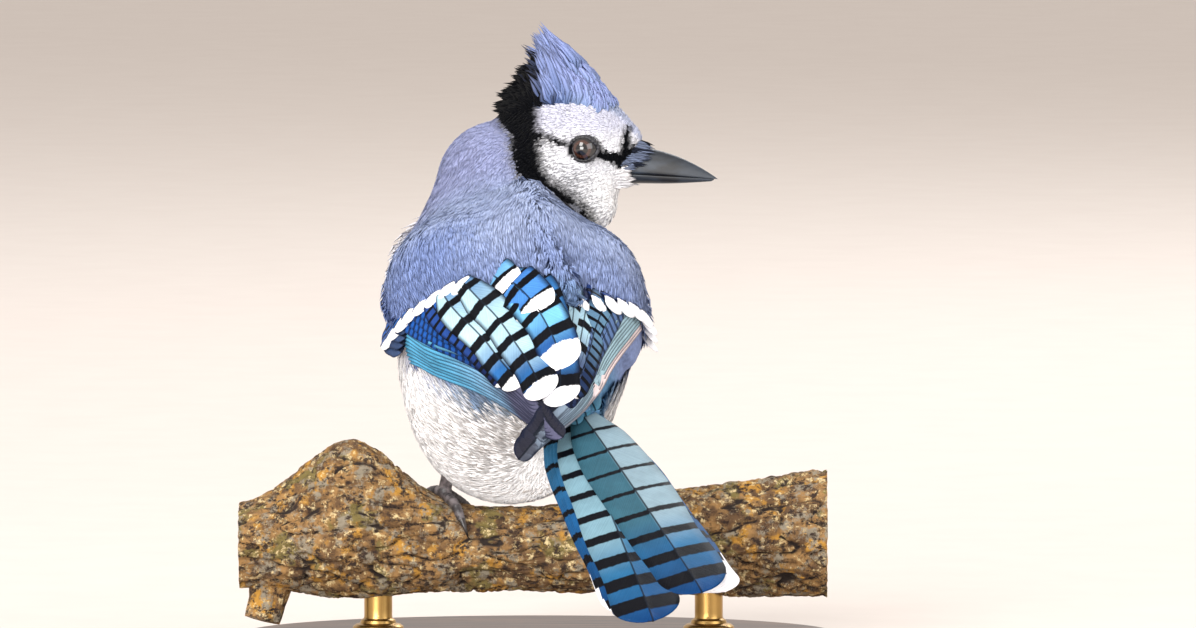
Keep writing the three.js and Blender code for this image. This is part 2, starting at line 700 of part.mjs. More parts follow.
// A node is its solid without the slivers that joins and cuts leave.
function addNode(name, solid, material) {
  const tolerances = [0.03, 0.04, 0.05, 0.06, 0.08, 0.02, 0.1];
  const tidied = (tolerance) =>
    geometryOf(largest(solidOf(geometryOf(largest(solid.simplify(tolerance))), 1e-3)));
  const found = tolerances.find((tolerance) => isClean(tidied(tolerance)));
  if (found === undefined) console.error(`${name} has an edge with more than two faces`);
  const mesh = new THREE.Mesh(tidied(found ?? tolerances[0]), material);
  mesh.name = name;
  bird.add(mesh);
}

const neckCentre = V(-5, 35, 132);
const trunkHeart = onTrunk(2, 0, -2);
const trunkCut = [cutAt(NECK_CUT, -1)];
const neckCuts = [cutAt(NECK_CUT, 1), cutAt(HEAD_CUT, -1)];
const perchCutter = perchSolid(GAP);
const trunkCutter = grown(trunkHeart, trunkDistance, 8, [], GAP);
const faceCutter = grown(onHead(-1, 0, 1), headDistance, 8, [], GAP);
const legs = { left: legParts("left"), right: legParts("right") };
const pockets = join(
  Object.values(legs).flatMap(({ sole, tarsus, toes }) => [
    tarsus(GAP),
    ball(sole, 3.3, 1),
    ...toes.map(({ toe }) => toe(GAP)),
  ]),
);

addNode(
  "torso",
  largest(grown(trunkHeart, bodyDistance, 8, trunkCut).subtract(perchCutter).subtract(pockets)),
  FINISHES.mantle,
);
addNode("neck", grown(neckCentre, bodyDistance, 6, neckCuts), FINISHES.mantle);
addNode("head", headSolid(), FINISHES.white);
for (const [name, solid] of Object.entries(billSolids(faceCutter)))
  addNode(name, solid, FINISHES.bill);
for (const [name, hand] of [["eye_left", 1], ["eye_right", -1]])
  addNode(name, ball(eyeAt(hand).centre, EYE_RADIUS, 3), FINISHES.eye);

const tailCutter = join(tailForms(GAP));
const rightWingCutter = join([wingCore(-1, GAP), ...wingVanes(-1, GAP)]);
addNode("wing_right", wingSolid(-1, [trunkCutter, tailCutter]), FINISHES.wing);
addNode("wing_left", wingSolid(1, [trunkCutter, tailCutter, rightWingCutter]), FINISHES.wing);
addNode("tail", join(tailForms()).subtract(trunkCutter), FINISHES.tail);

for (const [name, { sole, tarsus, toes }] of Object.entries(legs)) {
  const foot = join([ball(sole, 2.5, 1), ...toes.map(({ toe }) => toe(0))]).subtract(perchCutter);
  const footTop = [sole.clone().add(V(0, 0, 2.5 + GAP)), V(0, 0, 1)];
  addNode(`tarsus_${name}`, largest(keepBeyond(tarsus(0), ...footTop)), FINISHES.leg);
  const ankleCut = footTop[0].clone().add(V(0, 0, -GAP));
  addNode(`foot_${name}`, largest(keepBeyond(foot, ankleCut, V(0, 0, -1))), FINISHES.leg);
  for (const { number, claw } of toes)
    addNode(`claw_${name}_${number}`, claw, FINISHES.bill);
}

addNode("perch", largest(perchSolid()), FINISHES.bark);
addNode("stand_base", solidOf(baseGeometry()), FINISHES.base);
for (const [name, x] of Object.entries(ROD_PLACES))
  addNode(`stand_rod_${name}`, rodSolid(x, perchCutter), FINISHES.rod);

export default bird;
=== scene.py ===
"""A blue jay at life size on a short cut branch, with its stand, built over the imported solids.

Shapes are worked out in millimetres and become metres when a mesh is made.
"""

import logging
import sys
from dataclasses import dataclass
from enum import Enum
from typing import Callable, Sequence

import bpy
import numpy as np
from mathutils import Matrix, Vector, noise
from mathutils.bvhtree import BVHTree
from mathutils.kdtree import KDTree

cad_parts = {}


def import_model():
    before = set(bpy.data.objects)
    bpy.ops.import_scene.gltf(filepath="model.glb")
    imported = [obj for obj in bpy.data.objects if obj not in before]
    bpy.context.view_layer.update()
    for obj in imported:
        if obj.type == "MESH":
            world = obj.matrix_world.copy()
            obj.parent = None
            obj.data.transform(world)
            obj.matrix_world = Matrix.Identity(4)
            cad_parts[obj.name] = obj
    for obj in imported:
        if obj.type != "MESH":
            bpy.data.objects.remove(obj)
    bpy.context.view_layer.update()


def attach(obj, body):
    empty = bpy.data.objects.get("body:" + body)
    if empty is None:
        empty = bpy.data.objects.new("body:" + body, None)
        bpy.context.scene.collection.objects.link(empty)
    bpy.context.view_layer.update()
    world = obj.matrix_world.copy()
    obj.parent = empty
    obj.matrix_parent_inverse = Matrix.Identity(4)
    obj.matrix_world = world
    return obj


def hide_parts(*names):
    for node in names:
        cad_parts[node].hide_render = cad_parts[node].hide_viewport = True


Array = np.ndarray
Triple = tuple[float, float, float]
Colour = Triple
Stops = Sequence[tuple[float, Colour]]
Piece = bpy.types.Object
Socket = bpy.types.NodeSocket
Value = Socket | float
Shade = Socket | Colour
Material = bpy.types.Material
Draws = np.random.Generator
Distance = Callable[[Array], Array]
Bend = Callable[[Array, Array], Array]
MM = 0.001
LOG = logging.getLogger("jay")


# Small sums on many points at once


def unit(vectors: Array) -> Array:
    """Vectors at length one."""
    return vectors / np.maximum(np.linalg.norm(vectors, axis=-1, keepdims=True), 1e-9)


def ease(value: Array, start: float, end: float) -> Array:
    """A smooth step from 0 at start to 1 at end."""
    t = np.clip((np.asarray(value, float) - start) / (end - start), 0, 1)
    return t * t * (3 - 2 * t)


def dot(a: Array, b: Array) -> Array:
    """The scalar product along the last axis."""
    return np.sum(a * b, axis=-1)


def srgb(red: float, green: float, blue: float) -> Array:
    """A screen colour of 0 to 255 as linear values."""
    c = np.array([red, green, blue], float) / 255
    return np.where(c <= 0.04045, c / 12.92, ((c + 0.055) / 1.055) ** 2.4)


def turned(vectors: Array, axes: Array, angles: Array) -> Array:
    """Vectors turned about unit axes by angles in radians."""
    c, s = np.cos(angles)[..., None], np.sin(angles)[..., None]
    return vectors * c + np.cross(axes, vectors) * s + axes * dot(axes, vectors)[..., None] * (1 - c)


def through(points: Sequence[Sequence[float]], share: Array) -> Array:
    """Points on a centripetal curve through the given ones.

    Args:
        points: what the curve runs through.
        share: where on the curve, 0 to 1. Past 1 it runs straight on.
    Returns:
        One point for each share.
    """
    known = np.asarray(points, float)
    last = len(known) - 1
    ends = np.vstack([2 * known[0] - known[1], known, 2 * known[-1] - known[-2]])
    share = np.asarray(share, float)
    place = np.clip(share, 0, 1) * last
    at = np.minimum(place.astype(int), last - 1)
    w = (place - at)[..., None]
    gaps = np.sum(np.diff(ends, axis=0) ** 2, axis=1) ** 0.25
    x0, x1, x2, x3 = (ends[at + k] for k in range(4))
    d0, d1, d2 = (gaps[at + k][..., None] for k in range(3))
    t1 = ((x1 - x0) / d0 - (x2 - x0) / (d0 + d1) + (x2 - x1) / d1) * d1
    t2 = ((x2 - x1) / d1 - (x3 - x1) / (d1 + d2) + (x3 - x2) / d2) * d1
    found = x1 + t1 * w + (3 * (x2 - x1) - 2 * t1 - t2) * w**2 + (2 * (x1 - x2) + t1 + t2) * w**3
    beyond = np.maximum(share - 1, 0)[..., None]
    return found + beyond * last * (known[-1] - known[-2])


@dataclass(frozen=True)
class Axes:
    """A set of axes of its own: an origin and three unit rows."""

    origin: Array
    rows: Array

    def world(self, local: Sequence[float] | Array) -> Array:
        """Local points in the row frame."""
        return self.origin + np.asarray(local, float) @ self.rows

    def turn(self, local: Sequence[float] | Array) -> Array:
        """Local directions in the row frame."""
        return np.asarray(local, float) @ self.rows

    def local(self, points: Array) -> Array:
        """Points of the row frame in these axes."""
        return (points - self.origin) @ self.rows.T


def trunk_axes() -> Axes:
    """The trunk's forward, left and up axes, pitched up and turned a little."""
    yaw, pitch = np.radians(10), np.radians(38)
    ahead = np.array([-np.sin(yaw) * np.cos(pitch), np.cos(yaw) * np.cos(pitch), np.sin(pitch)])
    left = np.array([-np.cos(yaw), -np.sin(yaw), 0.0])
    return Axes(np.array([-4.0, 6.0, 98.0]), np.array([ahead, left, np.cross(ahead, left)]))


def head_axes() -> Axes:
    """The head's forward, left and up axes, level and turned back over the right shoulder."""
    yaw = np.radians(-10)
    ahead = np.array([np.cos(yaw), np.sin(yaw), 0.0])
    left = np.array([-np.sin(yaw), np.cos(yaw), 0.0])
    return Axes(np.array([7.0, 40.0, 144.5]), np.array([ahead, left, [0.0, 0.0, 1.0]]))


TRUNK = trunk_axes()
HEAD = head_axes()
REACH_STRIDE = 2.0
REACH_HALVINGS = 14


# The flesh, as distances to its surface


def from_head(p: Array) -> Array:
    """How far points are from the middle of the head."""
    return np.linalg.norm(p - HEAD.origin, axis=-1)


def ellipsoid(points: Array, centre: Array, axes: Axes, semi: Sequence[float]) -> Array:
    """About how far points lie outside an ellipsoid.

    Args:
        points: places in the row frame.
        centre: the ellipsoid's middle.
        axes: the directions of its half lengths.
        semi: the three half lengths.
    Returns:
        A distance for each point, below 0 inside.
    """
    q = ((points - centre) @ axes.rows.T) / np.array(semi)
    k0, k1 = np.linalg.norm(q, axis=-1), np.linalg.norm(q / np.array(semi), axis=-1)
    return k0 * (k0 - 1) / np.maximum(k1, 1e-9)


def cone(points: Array, start: Array, end: Array, first: float, last: float) -> Array:
    """About how far points lie outside a round-ended cone between two balls.

    Args:
        points: places in the row frame.
        start: the first ball's middle.
        end: the last ball's middle.
        first: the first ball's radius.
        last: the last ball's radius.
    Returns:
        A distance for each point, below 0 inside.
    """
    line = end - start
    t = np.clip((points - start) @ line / (line @ line), 0, 1)
    return np.linalg.norm(points - start - t[..., None] * line, axis=-1) - first - (last - first) * t


def blend(distances: Sequence[Array], width: float) -> Array:
    """The smooth union of several distances.

    Args:
        distances: one array for each form.
        width: how near two distances are where they begin to flow together.
    Returns:
        One distance for each point.
    """
    total = distances[0]
    for each in distances[1:]:
        h = np.maximum(width - np.abs(total - each), 0) / width
        total = np.minimum(total, each) - h * h * width / 4
    return total


def trunk_distance(p: Array) -> Array:
    """How far points lie outside the trunk and the neck.

    Args:
        p: points in the row frame.
    Returns:
        A distance for each point.
    """
    on = TRUNK.world
    low = np.array([-8.5, 0.5, 72.0])
    forms = [
        ellipsoid(p, on([-3, 1, -1]), TRUNK, (44, 31.5, 30)),
        ellipsoid(p, on([11, 4, 2]), TRUNK, (25, 32, 22.5)),
        ellipsoid(p, on([26, 0, -13]), TRUNK, (28, 30, 24)),
        ellipsoid(p, low, TRUNK, (26.5, 26, 27)),
        ellipsoid(p, on([-6, 9, -12]), TRUNK, (27, 27, 22)),
        cone(p, on([20, 0, -14]), low + [0, 0, 2], 25, 27),
        cone(p, on([-20, -1, 5]), on([-46, -5, 8]), 24, 11),
        cone(p, np.array([-13.5, 31, 108]), np.array([-12.5, 42, 134]), 25.8, 17.8),
    ]
    return blend(forms, 9)


def head_distance(p: Array) -> Array:
    """How far points lie outside the head.

    Args:
        p: points in the row frame.
    Returns:
        A distance for each point.
    """
    on = HEAD.world
    forms = [
        ellipsoid(p, on([-1, 0, 1]), HEAD, (17.5, 13.5, 13)),
        ellipsoid(p, on([5, 0, 4.5]), HEAD, (13, 10, 9.5)),
        ellipsoid(p, on([0, 0, -5]), HEAD, (15, 13, 10)),
        cone(p, on([8, 0, -2.5]), on([18, 0, -5]), 9.6, 5.2),
        cone(p, on([2, 0, -8]), on([14, 0, -8]), 8, 3.6),
        cone(p, on([10, 0, 5]), on([19.5, 0, 2.2]), 8.2, 4.0),
        cone(p, on([8, 0, -9]), on([8.5, -2, -17.5]), 7.5, 8.0),
        cone(p, on([-13, 0, -2]), on([-12, 0, 6]), 10, 8),
        ellipsoid(p, on([-2, 0, 11.5]), HEAD, (13.5, 7, 13)),
    ]
    return blend(forms, 5)


def body_distance(p: Array) -> Array:
    """How far points lie outside the whole of the flesh."""
    return blend([trunk_distance(p), head_distance(p)], 3)


def coat_depth(p: Array) -> Array:
    """How deep the skin lies under the outline: thin on the face, thick on the trunk."""
    return 0.9 + 0.9 * ease(from_head(p), 14, 36)


def slope_of(distance: Distance, p: Array) -> Array:
    """The direction in which a distance grows fastest."""
    steps = np.eye(3) * 0.05
    return unit(np.stack([distance(p + e) - distance(p - e) for e in steps], -1))


def reach_of(distance: Distance, origins: Array, ways: Array) -> Array:
    """How far it is along each way from a point inside to the surface.

    Args:
        distance: the form.
        origins: points inside it.
        ways: one direction for each point.
    Returns:
        One length for each way.
    """
    far = np.zeros(len(ways))
    inside = np.ones(len(ways), bool)
    while inside.any():
        inside &= distance(origins + ways * far[:, None]) < 0
        far = far + REACH_STRIDE * inside
    low, high = far - REACH_STRIDE, far
    for _ in range(REACH_HALVINGS):
        middle = (low + high) / 2
        within = distance(origins + ways * middle[:, None]) < 0
        low, high = np.where(within, middle, low), np.where(within, high, middle)
    return high


# Meshes


def made_object(name: str, vertices: Array, *faces: Array) -> Piece:
    """A mesh object at the origin.

    Args:
        name: the piece's name.
        vertices: points in millimetres, one row each.
        faces: arrays of point numbers, each for faces of one number of corners.
    Returns:
        The object, linked to the scene and smoothly shaded.
    """
    mesh = bpy.data.meshes.new(name)
    loops = np.concatenate([each.ravel() for each in faces]).astype(np.int32)
    sizes = np.concatenate([np.full(len(each), each.shape[1]) for each in faces])
    starts = np.concatenate([[0], np.cumsum(sizes)[:-1]]).astype(np.int32)
    mesh.vertices.add(len(vertices))
    mesh.vertices.foreach_set("co", (vertices * MM).astype(np.float32).ravel())
    mesh.loops.add(len(loops))
    mesh.loops.foreach_set("vertex_index", loops)
    mesh.polygons.add(len(sizes))
    mesh.polygons.foreach_set("loop_start", starts)
    mesh.update(calc_edges=True)
    mesh.validate()
    mesh.polygons.foreach_set("use_smooth", [True] * len(mesh.polygons))
    made = bpy.data.objects.new(name, mesh)
    bpy.context.scene.collection.objects.link(made)
    return made


def sheet_faces(rows: int, columns: int) -> Array:
    """Faces of a closed sheet.

    Args:
        rows: rows of points on its upper side.
        columns: points in each row. The lower side's points are numbered after the upper side's.
    Returns:
        The upper side, the lower side and the wall round the rim.
    """
    number = np.arange(rows * columns).reshape(rows, columns)
    a, b, c, d = number[:-1, :-1], number[:-1, 1:], number[1:, 1:], number[1:, :-1]
    upper = np.stack([a, b, c, d], -1).reshape(-1, 4)
    rim = np.concatenate([number[0, :], number[1:, -1], number[-1, -2::-1], number[-2:0:-1, 0]])
    after = np.roll(rim, -1)
    wall = np.stack([after, rim, rim + rows * columns, after + rows * columns], -1)
    return np.concatenate([upper, upper[:, ::-1] + rows * columns, wall])


def points_of(piece: Piece) -> Array:
    """A piece's points in millimetres."""
    found = np.zeros(len(piece.data.vertices) * 3, np.float32)
    piece.data.vertices.foreach_get("co", found)
    return found.reshape(-1, 3).astype(float) / MM


def set_points(piece: Piece, points: Array) -> None:
    """Moves a piece's points to these, given in millimetres."""
    piece.data.vertices.foreach_set("co", (points * MM).astype(np.float32).ravel())
    piece.data.update()


def set_colour(piece: Piece, name: str, colours: Array) -> None:
    """Stores a colour at each point of a piece."""
    layer = piece.data.color_attributes.new(name, "FLOAT_COLOR", "POINT")
    full = np.concatenate([colours, np.ones((len(colours), 1))], axis=1)
    layer.data.foreach_set("color", full.astype(np.float32).ravel())


def set_vector(piece: Piece, name: str, values: Array) -> None:
    """Stores three numbers at each point of a piece."""
    layer = piece.data.attributes.new(name, "FLOAT_VECTOR", "POINT")
    layer.data.foreach_set("vector", values.astype(np.float32).ravel())


def set_bake_map(piece: Piece, places: Array) -> None:
    """Stores the map that a bake uses, from a place for each point."""
    layer = piece.data.uv_layers.new(name="OFBake")
    corner = np.zeros(len(piece.data.loops), np.int32)
    piece.data.loops.foreach_get("vertex_index", corner)
    layer.data.foreach_set("uv", places[corner].astype(np.float32).ravel())


def only(piece: Piece) -> Piece:
    """Makes a piece the only selected and the active one."""
    bpy.ops.object.select_all(action="DESELECT")
    piece.select_set(True)
    bpy.context.view_layer.objects.active = piece
    return piece


def joined(pieces: Sequence[Piece], name: str) -> Piece:
    """Joins pieces into the first and names it.

    Args:
        pieces: two or more.
        name: the name of the whole.
    Returns:
        The first, now the whole.
    """
    only(pieces[0])
    for each in pieces[1:]:
        each.select_set(True)
    bpy.ops.object.join()
    pieces[0].name = pieces[0].data.name = name
    return pieces[0]


def settled(piece: Piece) -> Piece:
    """Applies a piece's place, turn and scale, so that it sits at the origin."""
    only(piece)
    bpy.ops.object.transform_apply(location=True, rotation=True, scale=True)
    return piece


def outward(piece: Piece) -> Piece:
    """Merges a closed piece's doubles and turns its faces out.

    Args:
        piece: the closed piece.
    Returns:
        The same piece.
    """
    only(piece)
    bpy.ops.object.mode_set(mode="EDIT")
    bpy.ops.mesh.select_all(action="SELECT")
    bpy.ops.mesh.remove_doubles(threshold=1e-6)
    bpy.ops.mesh.normals_make_consistent(inside=False)
    bpy.ops.mesh.select_all(action="DESELECT")
    bpy.ops.object.mode_set(mode="OBJECT")
    return piece


def smooth_all(piece: Piece) -> Piece:
    """Shades a piece smooth."""
    only(piece)
    bpy.ops.object.shade_smooth()
    return piece


def dress(piece: Piece, material: Material) -> Piece:
    """Gives a finished piece its material and slot, and lets it ride with the model.

    Args:
        piece: the piece.
        material: what covers it.
    Returns:
        The same piece.
    """
    piece.data.materials.clear()
    piece.data.materials.append(material)
    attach(piece, "root")
    return piece


# Finishes


class Graph:
    """The nodes of one material, with short ways to add and link them."""

    def __init__(self, name: str, **shader: float) -> None:
        """Starts a material whose shader sockets have these plain values, spelt with _ for a space."""
        self.material = bpy.data.materials.new(name)
        self.material.use_nodes = True
        self.tree = self.material.node_tree
        self.shader = self.tree.nodes["Principled BSDF"]
        for key, value in shader.items():
            self.shader.inputs[key.replace("_", " ").title().replace("Ior", "IOR")].default_value = value

    def node(self, kind: str, inputs: dict | None = None, **settings: str) -> bpy.types.Node:
        """Adds a node.

        Args:
            kind: the node's type.
            inputs: for each input, a plain value or a socket to link.
            settings: the node's own settings.
        Returns:
            The node.
        """
        made = self.tree.nodes.new(kind)
        for key, value in settings.items():
            setattr(made, key, value)
        for key, value in (inputs or {}).items():
            if isinstance(value, Socket):
                self.tree.links.new(value, made.inputs[key])
            else:
                made.inputs[key].default_value = value
        return made

    def stored(self, name: str) -> Sequence[Socket]:
        """The three numbers that the mesh stores under a name."""
        source = self.node("ShaderNodeAttribute", attribute_name=name).outputs["Vector"]
        return self.node("ShaderNodeSeparateXYZ", {0: source}).outputs[:3]

    def plume(self) -> Socket:
        """The colour that the mesh stores."""
        return self.node("ShaderNodeAttribute", attribute_name="plume").outputs["Color"]

    def maths(self, operation: str, *values: Value) -> Socket:
        """One sum of sockets or numbers."""
        return self.node("ShaderNodeMath", dict(enumerate(values)), operation=operation).outputs[0]

    def plus(self, first: Value, second: Value) -> Socket:
        """The sum of two."""
        return self.maths("ADD", first, second)

    def minus(self, first: Value, second: Value) -> Socket:
        """The first less the second."""
        return self.maths("SUBTRACT", first, second)

    def times(self, first: Value, second: Value) -> Socket:
        """The product of two."""
        return self.maths("MULTIPLY", first, second)

    def step(self, value: Socket, start: float, end: float) -> Socket:
        """A smooth step of a socket between two values, down where start is the larger."""
        inputs = {"Value": value, "From Min": min(start, end), "From Max": max(start, end)}
        inputs["To Min"], inputs["To Max"] = (0.0, 1.0) if start < end else (1.0, 0.0)
        return self.node("ShaderNodeMapRange", inputs, interpolation_type="SMOOTHSTEP").outputs[0]

    def spread(self, value: Socket, low: float, high: float, start: float = 0.3, end: float = 0.7) -> Socket:
        """A value's span from start to end laid out evenly from low to high."""
        inputs = {"Value": value, "From Min": start, "From Max": end, "To Min": low, "To Max": high}
        return self.node("ShaderNodeMapRange", inputs).outputs[0]

    def mix(self, share: Value, first: Shade, second: Shade, how: str = "MIX") -> Socket:
        """Two colours mixed.

        Args:
            share: how much of the second.
            first: a socket, or a screen colour of 0 to 255.
            second: the same.
            how: the way of mixing.
        Returns:
            The mixed colour.
        """
        pair = [opaque(each) if isinstance(each, tuple) else each for each in (first, second)]
        inputs = {0: share, 6: pair[0], 7: pair[1]}
        return self.node("ShaderNodeMix", inputs, data_type="RGBA", blend_type=how).outputs[2]

    def noise(self, cells: float, detail: float, stretch: Triple = (1, 1, 1), rough: float = 0.55) -> Socket:
        """Noise in object space, with its cells per metre and a stretch for each axis."""
        where = self.node("ShaderNodeTexCoord").outputs["Object"]
        moved = self.node("ShaderNodeMapping", {0: where, "Scale": stretch}).outputs[0]
        inputs = {"Vector": moved, "Scale": cells, "Detail": detail, "Roughness": rough}
        return self.node("ShaderNodeTexNoise", inputs).outputs["Fac"]

    def bump(self, height: Socket, strength: float, distance: float) -> None:
        """Raises the surface by a height, with its distance in metres."""
        inputs = {"Height": height, "Strength": strength, "Distance": distance}
        self.feed("Normal", self.node("ShaderNodeBump", inputs).outputs[0])

    def feed(self, socket: str, value: Socket) -> None:
        """Links a socket to the shader."""
        self.tree.links.new(value, self.shader.inputs[socket])


def opaque(colour: Colour) -> tuple[float, float, float, float]:
    """A screen colour as linear values with its alpha."""
    return (*srgb(*colour).tolist(), 1.0)


@dataclass(frozen=True)
class DownFinish:
    """Soft contour feathers and skin: the colour stored in the mesh, mottled a little."""

    name: str
    roughness: float = 0.72
    sheen: float = 0.02
    specular: float = 0.04
    mottle: float = 0.07
    cloud_cells: float = 900.0
    grain_cells: float = 2600.0

    def make(self) -> Material:
        """Builds the material."""
        shine = {"sheen_weight": self.sheen, "sheen_roughness": 0.5, "specular_ior_level": self.specular}
        g = Graph(self.name, roughness=self.roughness, **shine)
        shade = g.spread(g.noise(self.cloud_cells, 4), 1.0 - self.mottle, 1.0 + self.mottle * 0.5)
        g.feed("Base Color", g.mix(1.0, g.plume(), shade, "MULTIPLY"))
        g.bump(g.noise(self.grain_cells, 2), 0.15, 0.0001)
        return g.material


@dataclass(frozen=True)
class VaneFinish:
    """A flight, tail or covert feather: bars, a pale tip, a dark shaft and fine barbs along the feather."""

    name: str
    bar: Colour = (5, 7, 14)
    tip: Colour = (240, 240, 244)
    shaft: Colour = (14, 20, 30)
    roughness: float = 0.48
    specular: float = 0.08
    barb_period: float = 0.55
    bar_edge: float = 0.022
    shaft_width: tuple[float, float] = (0.34, 0.16)

    def make(self) -> Material:
        """Builds the material from what the mesh stores: plume, marks and fine."""
        g = Graph(self.name, roughness=self.roughness, specular_ior_level=self.specular)
        phase, duty, strength = g.stored("marks")
        tip, shaft, barb = g.stored("fine")
        ragged = g.minus(g.noise(700, 3), 0.5)
        inputs = {"W": g.times(barb, 2.4), "Scale": 1.0, "Detail": 3.0}
        strand = g.node("ShaderNodeTexNoise", inputs, noise_dimensions="1D").outputs["Fac"]
        grain = g.minus(strand, 0.5)
        ground = g.mix(1.0, g.plume(), g.spread(strand, 0.8, 1.12), "MULTIPLY")
        ground = g.mix(1.0, ground, g.spread(g.noise(160, 3), 0.86, 1.12), "MULTIPLY")
        wobble = g.plus(phase, g.times(ragged, 0.1))
        from_bar = g.maths("ABSOLUTE", g.minus(g.maths("FRACT", wobble), 0.5))
        inside = g.plus(g.minus(g.times(duty, 0.5), from_bar), g.times(grain, 0.03))
        shown = g.mix(g.times(g.step(inside, -self.bar_edge, self.bar_edge), strength), ground, self.bar)
        shown = g.mix(g.times(g.step(shaft, *self.shaft_width), 0.85), shown, self.shaft)
        edge = g.plus(tip, g.plus(g.times(ragged, 1.6), g.times(grain, 0.8)))
        g.feed("Base Color", g.mix(g.step(edge, -0.2, 0.25), shown, self.tip))
        ridge = g.maths("SINE", g.times(barb, 2 * np.pi / self.barb_period))
        g.bump(g.plus(g.times(ridge, 0.35), g.times(grain, 1.2)), 0.45, 0.00012)
        return g.material


@dataclass(frozen=True)
class HornFinish:
    """Bill, claws and scaly legs: dark horn, paler where it is worn, with fine streaks."""

    name: str
    dark: Colour
    pale: Colour
    roughness: float
    coat: float = 0.0
    cells: float = 260.0
    stretch: Triple = (1.0, 1.0, 1.0)
    depth: float = 0.00008

    def make(self) -> Material:
        """Builds the material."""
        g = Graph(self.name, coat_weight=self.coat, coat_roughness=0.25)
        worn = g.step(g.noise(self.cells, 5, self.stretch), 0.38, 0.68)
        g.feed("Base Color", g.mix(worn, self.dark, self.pale))
        g.feed("Roughness", g.spread(g.noise(900, 2), self.roughness - 0.08, self.roughness + 0.12, 0.0, 1.0))
        g.bump(g.noise(self.cells * 5, 4, self.stretch), 0.35, self.depth)
        return g.material


@dataclass(frozen=True)
class EyeFinish:
    """The eyeball: pupil, brown iris with fine rays and a dark rim, under a clear wet surface."""

    name: str
    iris: Colour = (48, 27, 20)
    pale: Colour = (80, 53, 44)
    iris_edge: Colour = (60, 34, 26)
    pupil: Colour = (6, 5, 6)
    rim: Colour = (12, 10, 12)
    pupil_share: float = 0.48
    iris_share: float = 0.72

    def make(self) -> Material:
        """Builds the material from ring: the share of the opening's radius, and the turn's way."""
        g = Graph(self.name, roughness=0.12, coat_weight=1.0, coat_roughness=0.02)
        share, ray_x, ray_y = g.stored("ring")
        rays_at = g.node("ShaderNodeCombineXYZ", {0: ray_x, 1: ray_y, 2: g.times(share, 0.25)}).outputs[0]
        rays = g.node("ShaderNodeTexNoise", {"Vector": rays_at, "Scale": 9.0, "Detail": 4.0}).outputs["Fac"]
        iris = g.mix(g.step(rays, 0.35, 0.7), self.iris, self.pale)
        inner = g.mix(g.step(share, self.iris_share - 0.2, self.iris_share), iris, self.iris_edge)
        seen = g.mix(g.step(share, self.pupil_share - 0.03, self.pupil_share + 0.03), self.pupil, inner)
        rim = g.step(share, self.iris_share - 0.04, self.iris_share + 0.05)
        g.feed("Base Color", g.mix(rim, seen, self.rim))
        return g.material


@dataclass(frozen=True)
class Lichen:
    """One layer of the bark's colour: its noise, the part of it that shows and its colour."""

    cells: float
    detail: float
    stretch: Triple
    rough: float
    shown: tuple[float, float]
    colour: Colour


@dataclass(frozen=True)
class BarkFinish:
    """Old bark, brown and olive with gold and grey lichen, darker in its cracks."""

    name: str
    layers: tuple[Lichen, ...] = (
        Lichen(130, 7, (1, 1, 1), 0.55, (0.54, 0.62), (176, 128, 48)),
        Lichen(100, 7, (1, 1, 1), 0.55, (0.55, 0.62), (112, 98, 52)),
        Lichen(420, 7, (1, 1, 1), 0.75, (0.53, 0.62), (208, 186, 138)),
        Lichen(170, 8, (1.1, 1, 1), 0.72, (0.52, 0.6), (136, 126, 108)),
        Lichen(460, 7, (0.8, 1, 1), 0.75, (0.51, 0.4), (44, 28, 18)),
    )

    def make(self) -> Material:
        """Builds the material from relief: a point's height, whether it is cut wood, and its radius."""
        g = Graph(self.name, roughness=0.88)
        high, cut, rings = g.stored("relief")
        shown = g.mix(g.step(g.noise(170, 6), 0.4, 0.6), (92, 66, 40), (148, 112, 66))
        for layer in self.layers:
            cloud = g.noise(layer.cells, layer.detail, layer.stretch, layer.rough)
            shown = g.mix(g.step(cloud, *layer.shown), shown, layer.colour)
        sunk = g.mix(g.step(high, 0.42, 0.16), shown, (34, 22, 15))
        ring = g.step(g.maths("SINE", g.times(rings, 5.2)), -0.4, 0.9)
        wood = g.mix(ring, (196, 160, 112), (160, 120, 76))
        g.feed("Base Color", g.mix(cut, sunk, wood))
        height = g.plus(g.noise(420, 7, (0.7, 1, 1), 0.7), g.times(g.noise(1400, 5), 0.4))
        g.bump(g.times(height, g.minus(1.0, g.times(cut, 0.8))), 0.8, 0.0011)
        return g.material


@dataclass(frozen=True)
class WoodFinish:
    """The base: dark oiled walnut with long grain."""

    name: str

    def make(self) -> Material:
        """Builds the material."""
        g = Graph(self.name, coat_weight=0.25, coat_roughness=0.3)
        grain, fine = g.noise(60, 7, (0.35, 5.0, 2.0), 0.62), g.noise(900, 4, (0.12, 3.0, 1.0))
        base = g.mix(g.step(grain, 0.36, 0.66), (58, 38, 27), (112, 78, 54))
        g.feed("Base Color", g.mix(g.times(g.step(fine, 0.5, 0.68), 0.5), base, (38, 25, 18)))
        g.feed("Roughness", g.spread(fine, 0.36, 0.56, 0.0, 1.0))
        g.bump(g.plus(grain, g.times(fine, 0.6)), 0.2, 0.0002)
        return g.material


@dataclass(frozen=True)
class BrassFinish:
    """The rods: satin brass, drawn along their length."""

    name: str

    def make(self) -> Material:
        """Builds the material."""
        g = Graph(self.name, metallic=1.0)
        drawn = g.noise(1500, 3, (1, 1, 0.02))
        g.feed("Base Color", g.mix(g.noise(90, 4), (196, 160, 96), (168, 130, 74)))
        g.feed("Roughness", g.spread(drawn, 0.2, 0.42, 0.0, 1.0))
        g.bump(drawn, 0.15, 0.00005)
        return g.material


# Markings, shared by the skin and its coat

